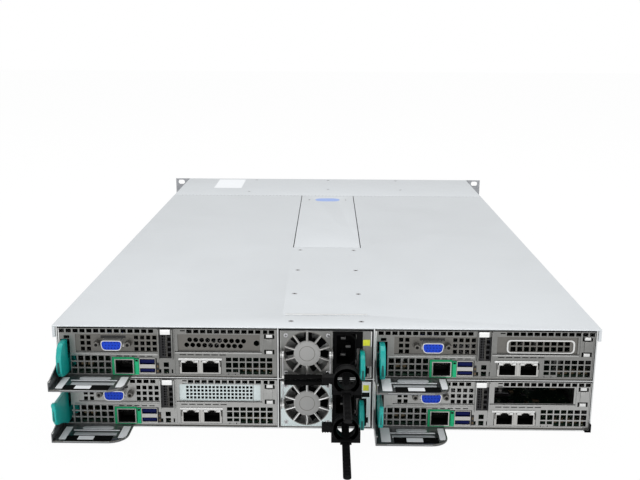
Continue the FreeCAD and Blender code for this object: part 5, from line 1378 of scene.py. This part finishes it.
# ------------------------------------------------------------------ supplies
class SERVER_OT_supply_faces(bpy.types.Operator):
    """Face plates, fan guard, inlet housing, tags and screws of the supplies"""

    bl_idname = "server.supply_faces"
    bl_label = "Supply Faces"

    def execute(self, context):
        for n in SUPPLIES:
            piece = Piece(supply_corner(n))
            # The upper supply takes the darker plate as painted shade; the lower one takes the pale plate.
            self.fan_plate(piece, "upper_plate" if n == 2 else "pale_plate")
            # The upper supply's guard takes the duller tin as painted shade from the handle grip; the lower
            # one keeps the bright plate.
            self.bright = "port_tin" if n == 2 else "bright_plate"
            self.guard(piece)
            self.right_column(piece, n)
            self.sides(piece)
            piece.make("supply_face_%d" % n, "psu_%d" % n, "panel_zinc")
            self.inlet(n)
        return {"FINISHED"}

    def fan_plate(self, piece, finish):
        """Plate round the fan, with a round mouth and pressed edge."""
        outer, inner = [], []
        x0, x1, z0, z1 = 0.9, 41.6, 0.8, 39.6
        cx, cz = 21.65, 20.7
        for k in range(64):
            angle = math.tau * (k + 0.5) / 64
            c, d = math.cos(angle), math.sin(angle)
            reach = min((x1 - cx) / c if c > 0 else (x0 - cx) / c,
                        (z1 - cz) / d if d > 0 else (z0 - cz) / d)
            outer.append((cx + reach * c, cz + reach * d))
            inner.append((cx + 18.4 * c, cz + 18.4 * d))
        piece.add(collar(outer, inner, 0.6, 1.0), finish)
        for z in (0.9, 39.0):
            piece.add(block((0.6, 0.35, z), (41.8, 1.0, z + 0.7), 0.25), finish)
        for x in (0.5, 41.2):
            piece.add(block((x, 0.35, 0.9), (x + 0.7, 1.0, 39.7), 0.25), finish)
        for x in (4.6, 38.4):
            for z in (4.4, 36.2):
                screw(piece, (x, 0.6, z), "y", 1.9)

    def guard(self, piece):
        """Wire guard in front of the fan, with a bare disc on its hub."""
        centre = Vector((21.65, 0, 20.7))
        for k in range(10):
            angle = math.tau * (k + 0.5) / 10
            c, d = math.cos(angle), math.sin(angle)
            piece.add(pipe([(centre.x + r * c, y, centre.z + r * d)
                            for r, y in ((10.2, 0.75), (14.4, 0.5), (18.9, 0.75))], 0.6, 8),
                      self.bright)
        piece.add(ring((centre.x, 0, centre.z), "y", 19.0, 18.3, 0.5, 1.0, 56), "recess_plate")
        piece.add(rod((centre.x, 1.2, centre.z), (centre.x, 0.55, centre.z), 10.3, 40, 0.2),
                  "disc_label")
        piece.add(ring((centre.x, 0, centre.z), "y", 6.4, 6.0, 0.5, 0.7, 36), "recess_plate")

    def right_column(self, piece, n):
        """Sheet beside the inlet with its small tag and holes."""
        holes = [(67.4, 71.6, 4.0, 9.0), (62.4, 70.0, 1.2, 25.6)]
        if n == 1:
            holes.append((66.2, 72.4, 26.6, 30.6))
        # Darker plate on the upper supply: painted shade.
        sheet = "upper_plate" if n == 2 else "pale_plate"
        piece.add(grille((66.2, 73.4), (0.6, 39.9), holes, 0.6, 1.0), sheet)
        piece.add(block((66.3, 0.9, 1.0), (73.2, 1.0, 39.4)), "socket_dark")
        if n == 2:
            piece.add(block((66.3, 0.15, 27.9), (71.9, 0.6, 33.0), 0.3), "tag_plastic")
            piece.add(block((66.3, 0.35, 10.4), (73.3, 0.65, 27.0), 0.2), "recess_plate")
        else:
            piece.add(block((66.2, 0.35, 31.0), (73.3, 0.65, 39.2), 0.2), "bare_label")
            piece.add(block((67.0, 0.1, 32.4), (71.6, 0.4, 37.2), 0.3), "tag_plastic")
        piece.add(block((72.7, 0.4, 0.8), (73.4, 1.0, 39.8), 0.2), "bright_plate")

    def sides(self, piece):
        """Vent slots and rivets on the case behind the face."""
        for k in range(14):
            y = 20 + 6.0 * k
            for x in (10, 34):
                piece.add(block((x, y, 39.9), (x + 18, y + 2.2, 40.06), 0.05), "socket_dark")
        for y in (12, 100, 176):
            for x, step in ((0.0, -0.35), (73.5, 0.35)):
                piece.add(rod((x, y, 34), (x + step, y, 34), 1.8, 16, 0.1), "screw_steel")
        piece.add(block((8, 184.8, 6), (44, 190.0, 10.4), 0.3), "board_mask")
        for k in range(10):
            piece.add(block((9.6 + 3.4 * k, 185.4, 5.9), (11.6 + 3.4 * k, 189.6, 10.5)), "pin_brass")

    def inlet(self, n):
        """Black housing with a deep mouth, cut corners and three blades."""
        piece = Piece(supply_corner(n))
        x0, x1, z0, z1, cut = 45.2, 60.0, 12.7, 36.8, 4.0
        mouth = [(x0, z0), (x1 - cut, z0), (x1, z0 + cut), (x1, z1 - cut), (x1 - cut, z1), (x0, z1)]
        lip = [(x0 - 1.0, z0 - 1.0), (x1 - cut + 0.4, z0 - 1.0), (x1 + 1.0, z0 + cut - 0.4),
               (x1 + 1.0, z1 - cut + 0.4), (x1 - cut + 0.4, z1 + 1.0), (x0 - 1.0, z1 + 1.0)]
        shell = [(44.4, 11.5), (57.0, 11.5), (60.8, 15.3), (60.8, 34.2), (57.0, 38.0), (44.4, 38.0)]
        piece.add(collar(lip, mouth, -0.5, 1.2), "inlet_plastic")
        piece.add(collar(shell, mouth, 1.1, 17.0), "inlet_plastic")
        piece.add(extruded(shell, "y", 15.9, 20.9, 0.2), "inlet_plastic")
        holes = [(44.2, 61.0, 11.7, 37.8), (61.5, 70.0, 0.9, 25.6), (49.3, 55.9, 6.8, 8.9)]
        piece.add(grille((42.1, 66.1), (0.8, 39.7), holes, 0.3, 0.95), "inlet_plastic")
        piece.add(block((42.1, 0.0, 38.9), (66.1, 0.9, 39.8), 0.3), "inlet_plastic")
        piece.add(block((61.4, -0.1, 26.2), (66.0, 0.9, 38.8), 0.5), "inlet_plastic")
        # The blades are dark as painted shade in the mouth.
        for x, z in ((50.6, 17.7), (54.6, 24.7), (50.6, 31.8)):
            piece.add(block((x - 2.0, 6.5, z - 1.0), (x + 2.0, 16.2, z + 1.0), 0.45), "inlet_blade")
        made = piece.make("supply_inlet_%d" % n, "psu_%d" % n, "inlet_black")
        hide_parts("psu_inlet_%d" % n)


class SERVER_OT_bails(bpy.types.Operator):
    """Swinging wire handles with rubber sleeves"""

    bl_idname = "server.bails"
    bl_label = "Bails"

    def execute(self, context):
        for n in SUPPLIES:
            up = 1 if n == 1 else -1
            piece = Piece(supply_corner(n))
            pin = Vector((0, -4.8, 22.0))
            reach = 18.9
            for x0 in (1.9, 39.6):
                piece.add(ring((x0, pin.y, pin.z), "x", 3.0, 1.5, 0.0, 1.2, 28), "bright_plate")
                arm = [(pin.y - 1.3, pin.z + up * 2.2), (pin.y + 1.3, pin.z + up * 2.2),
                       (pin.y + 0.9, pin.z + up * (reach - 0.8)),
                       (pin.y - 0.9, pin.z + up * (reach - 0.8))]
                piece.add(extruded(arm, "x", x0 + 0.2, x0 + 1.0, 0.3), "screw_steel")
                piece.add(ring((x0, pin.y, pin.z + up * reach), "x", 1.7, 0.8, 0.0, 1.2, 24),
                          "bright_plate")
            bar = pin.z + up * reach
            piece.add(rod((2.0, pin.y, bar), (40.7, pin.y, bar), 0.85, 18, 0.2), "bright_plate")
            piece.add(rod((3.4, pin.y, bar), (39.3, pin.y, bar), 1.85, 28, 0.5), "sleeve_rubber")
            for k in range(17):
                x = 4.4 + 2.1 * k
                piece.add(ring((x, pin.y, bar), "x", 1.98, 1.7, 0.0, 1.2, 28), "sleeve_rubber")
            made = piece.make("supply_bail_%d" % n, "psu_handle_%d" % n, "bail_steel", 50)
            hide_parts("psu_bail_%d" % n)
        return {"FINISHED"}


class SERVER_OT_cord_clamps(bpy.types.Operator):
    """Toothed straps with sliding ring clamps, one below each inlet"""

    bl_idname = "server.cord_clamps"
    bl_label = "Cord Clamps"

    def execute(self, context):
        pitch = context.scene.server_sizes.tooth_pitch / MM
        for n in SUPPLIES:
            strap = Piece(supply_corner(n))
            tongue = [(49.6, 7.8), (55.6, 7.8), (55.6, -95.0)]
            tongue += [(52.6 + 3 * math.cos(math.radians(a)), -95 - 3 * math.sin(math.radians(a)))
                       for a in range(15, 180, 15)] + [(49.6, -95.0)]
            strap.add(extruded(tongue, "z", 7.2, 7.75, 0.12), "strap_plastic")
            for x in (49.6, 54.7):
                strap.add(block((x, -94.5, 7.5), (x + 0.9, 1.0, 8.35), 0.2), "strap_plastic")
            count = int(92 / pitch)
            for k in range(count):
                y = -2.2 - pitch * k
                strap.add(block((50.3, y - pitch * 0.42, 7.6), (54.9, y, 8.3), 0.18),
                          "strap_plastic")
            strap.add(block((50.2, 0.6, 7.0), (55.0, 7.6, 8.6), 0.3), "strap_plastic")
            made = strap.make("toothed_strap_%d" % n, "psu_%d" % n, "strap_nylon", 50)
            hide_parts("cord_strap_%d" % n)
            self.clamp(n, -30.0 if n == 1 else -37.0)
        return {"FINISHED"}

    def clamp(self, n, back):
        """An open ring on a base that slides along the strap, with a finger tab."""
        piece = Piece(supply_corner(n))
        front = back - 9.0
        centre = 17.05
        piece.add(ring((52.6, 0, centre), "y", 9.7, 7.3, front, back, 48), "strap_plastic")
        for y in (front, back - 1.2):
            piece.add(ring((52.6, 0, centre), "y", 10.1, 7.1, y, y + 1.2, 48), "strap_plastic")
        way = rectangle(49.2, 56.0, 6.9, 8.8)
        shoulders = [(41.3, 63.9, 5.85, 6.9), (41.3, 49.2, 6.9, 8.6), (56.0, 63.9, 6.9, 8.6),
                     (45.0, 60.2, 8.8, 9.9)]
        for x0, x1, z0, z1 in shoulders:
            piece.add(block((x0, front, z0), (x1, back, z1), 0.35), "strap_plastic")
        cradle = [(41.3, 8.8), (63.9, 8.8), (63.9, 15.0)]
        cradle += [(52.6 + 7.4 * math.cos(math.radians(a)), centre + 7.4 * math.sin(math.radians(a)))
                   for a in range(-16, -165, -8)] + [(41.3, 15.0)]
        piece.add(extruded(cradle, "y", front, back), "strap_plastic")
        piece.add(block((33.9, front + 0.3, 14.4), (44.4, back - 0.3, 19.6), 0.9, 3),
                  "strap_plastic")
        for k in range(4):
            piece.add(block((34.3 + 2.0 * k, front + 0.1, 14.2), (35.2 + 2.0 * k, back - 0.1, 19.8),
                            0.3), "strap_plastic")
        piece.add(collar(rectangle(48.2, 57.0, 6.3, 9.7), way, front - 4.0, front + 0.2),
                  "strap_plastic")
        piece.add(collar(rectangle(48.2, 57.0, 6.3, 9.7), way, back - 0.2, back + 0.6),
                  "strap_plastic")
        made = piece.make("strap_clamp_%d" % n, "clamp_%d" % n, "strap_nylon", 50)
        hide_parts("cord_clamp_%d" % n)


# ------------------------------------------------------------------ drive end
class SERVER_OT_drive_end(bpy.types.Operator):
    """Carrier fronts, rack ears, pods and buttons at the drive end"""

    bl_idname = "server.drive_end"
    bl_label = "Drive End"

    def execute(self, context):
        low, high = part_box("drive_carriers")
        piece = Piece((0, high.y, low.z))
        tall = (high.z - low.z) / MM
        for i in range(24):
            x = (i - 11.5) * 17.6
            for k in range(9):
                z = 12 + 6.6 * k
                piece.add(block((x - 4.6, -0.15, z), (x + 4.6, 0.0, z + 3.4), 0.06), "socket_dark")
            piece.add(block((x - 6.3, -4.1, 71.6), (x + 6.3, -1.2, tall - 1.2), 0.7, 3),
                      "pod_plastic_grey")
            piece.add(block((x - 3.4, -1.4, 73.2), (x + 3.4, -0.6, 76.6), 0.5), "button_plastic")
            piece.add(block((x - 7.9, -12.3, 0.6), (x + 7.9, -4.2, 2.0), 0.3), "carrier_plastic")
            for dx, lamp in ((-2.0, "lamp_green"), (2.0, "lamp_amber")):
                piece.add(rod((x + dx, -4.6, 5.2), (x + dx, -4.1, 5.2), 0.75, 14, 0.1), lamp)
        piece.make("carrier_fronts", "chassis", "carrier_black")
        for side in ("left", "right"):
            softened("rack_ear_" + side, "ear_" + side, "pod_plastic_grey", 0.0006)
            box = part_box("rack_ear_" + side)
            sign = -1 if side == "left" else 1
            mid = sign * 226.5
            fittings = Piece((0, box[1].y, 0))
            for z in (25.0, 62.0):
                fittings.add(rod((mid, -0.4, z), (mid, 0.0, z), 1.2, 18, 0.1),
                             "lamp_green" if z > 40 else "lamp_amber")
            for z in (20, 60):
                screw(fittings, (sign * 217.5, -52, z), "x" if sign > 0 else "-x", 2.6)
            fittings.make("ear_fittings_" + side, "chassis", "pod_plastic")
        for n in (1, 2, 3, 4):
            softened("power_button_%d" % n, "button_cap_%d" % n, "button_plastic",
                     0.0009, 3)
        return {"FINISHED"}


# ------------------------------------------------------------------ studio
class SERVER_OT_studio(bpy.types.Operator):
    """Sets up the floor, the lights and the camera"""

    bl_idname = "server.studio"
    bl_label = "Studio"

    def execute(self, context):
        scene = context.scene
        studio = scene.server_studio
        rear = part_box("rear_cover")[0].y
        scene.view_settings.view_transform = "Standard"
        self.place_camera(scene, studio, rear)
        self.lay_floor(studio)
        self.light_room(scene, studio)
        for name, place, size, power in (
                ("overhead_softbox", (0.0, 0.5, 1.9), (2.2, 1.8), 26.0),
                ("left_softbox", (-1.5, -1.3, 1.1), (1.0, 1.0), 9.0),
                ("right_softbox", (1.5, -1.3, 1.1), (1.0, 1.0), 9.0),
                ("low_front_card", (0.0, -2.2, 0.35), (2.0, 0.5), 7.0)):
            self.hang_light(name, place, size, power, aim=Vector((0, rear * 0.6, 0.04)))
        return {"FINISHED"}

    def place_camera(self, scene, studio, rear):
        data = bpy.data.cameras.new("studio_camera")
        data.lens = studio.lens
        data.sensor_width = 36.0
        data.clip_start = 0.01
        made = bpy.data.objects.new("studio_camera", data)
        scene.collection.objects.link(made)
        turn = (Matrix.Rotation(studio.yaw, 4, "Z") @ Matrix.Rotation(math.pi / 2 - studio.pitch, 4, "X")
                @ Matrix.Rotation(-studio.roll, 4, "Z"))
        spot = Vector((studio.aside, rear - studio.distance, studio.height))
        made.matrix_world = Matrix.Translation(spot) @ turn
        scene.camera = made

    def lay_floor(self, studio):
        data = bpy.data.meshes.new("studio_floor")
        half = 6.0
        data.from_pydata([(-half, -half, 0), (half, -half, 0), (half, half, 0), (-half, half, 0)],
                         [], [(0, 1, 2, 3)])
        floor = bpy.data.objects.new("studio_floor", data)
        floor.location.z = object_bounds()[0][2] - 0.0004
        bpy.context.scene.collection.objects.link(floor)
        floor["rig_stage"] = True
        made, tree, shader = fresh("floor_paper")
        grain = group_node(tree, "sheet_grain", Fineness=30.0)
        tone = tuple(studio.floor)
        tree.links.new(blended(tree, grain["Shade"], scaled(tone, 0.995), scaled(tone, 1.005)),
                       shader.inputs["Base Color"])
        shader.inputs["Roughness"].default_value = 0.9
        white = put(tree, "Emission", Color=(1.0, 1.0, 1.0, 1.0), Strength=1.0)
        seen = put(tree, "LightPath")
        mirrored = sum_up(tree, "MAXIMUM", seen.outputs["Is Camera Ray"],
                          seen.outputs["Is Glossy Ray"])
        mix = tree.nodes.new("ShaderNodeMixShader")
        tree.links.new(sum_up(tree, "MULTIPLY", mirrored, 0.97), mix.inputs[0])
        tree.links.new(shader.outputs[0], mix.inputs[1])
        tree.links.new(white.outputs[0], mix.inputs[2])
        out = next(node for node in tree.nodes if node.type == "OUTPUT_MATERIAL")
        tree.links.new(mix.outputs[0], out.inputs[0])
        data.materials.append(made)

    def light_room(self, scene, studio):
        world = bpy.data.worlds.new("studio_room")
        world.use_nodes = True
        scene.world = world
        tree = world.node_tree
        tree.nodes.clear()
        seen = put(tree, "LightPath").outputs["Is Camera Ray"]
        strength = put(tree, "MapRange")
        tree.links.new(seen, strength.inputs["Value"])
        strength.inputs["To Min"].default_value = studio.room_light
        strength.inputs["To Max"].default_value = 1.0
        back = put(tree, "Background", Color=(1.0, 1.0, 1.0, 1.0), Strength=strength.outputs[0])
        out = tree.nodes.new("ShaderNodeOutputWorld")
        tree.links.new(back.outputs[0], out.inputs[0])

    def hang_light(self, name, place, size, power, aim):
        data = bpy.data.lights.new(name, "AREA")
        data.shape = "RECTANGLE"
        data.size, data.size_y = size
        data.energy = power
        made = bpy.data.objects.new(name, data)
        bpy.context.scene.collection.objects.link(made)
        made.location = place
        made.rotation_euler = (aim - Vector(place)).to_track_quat("-Z", "Y").to_euler()




# ------------------------------------------------------------------ add-on
OPERATORS = (SERVER_OT_finishes, SERVER_OT_covers, SERVER_OT_body, SERVER_OT_module_faces,
             SERVER_OT_sockets, SERVER_OT_module_trays, SERVER_OT_levers,
             SERVER_OT_module_insides, SERVER_OT_supply_faces, SERVER_OT_bails,
             SERVER_OT_cord_clamps, SERVER_OT_drive_end, SERVER_OT_studio)


class SERVER_PT_panel(bpy.types.Panel):
    """Lists the steps and the values of the dressing"""

    bl_idname = "SERVER_PT_panel"
    bl_label = "Rack Server"
    bl_space_type = "VIEW_3D"
    bl_region_type = "UI"
    bl_category = "Server"

    def draw(self, context):
        for operator in OPERATORS:
            self.layout.operator(operator.bl_idname)
        for group in (context.scene.server_sizes, context.scene.server_colours,
                      context.scene.server_studio):
            column = self.layout.column()
            for name in group.__annotations__:
                column.prop(group, name)


CLASSES = (ServerSizes, ServerColours, StudioSettings) + OPERATORS + (SERVER_PT_panel,)


def register():
    for item in CLASSES:
        bpy.utils.register_class(item)
    bpy.types.Scene.server_sizes = PointerProperty(type=ServerSizes)
    bpy.types.Scene.server_colours = PointerProperty(type=ServerColours)
    bpy.types.Scene.server_studio = PointerProperty(type=StudioSettings)


def unregister():
    del bpy.types.Scene.server_studio
    del bpy.types.Scene.server_colours
    del bpy.types.Scene.server_sizes
    for item in reversed(CLASSES):
        bpy.utils.unregister_class(item)


def main():
    register()
    for operator in OPERATORS:
        group, name = operator.bl_idname.split(".")
        getattr(getattr(bpy.ops, group), name)()


if __name__ == "__main__":
    main()
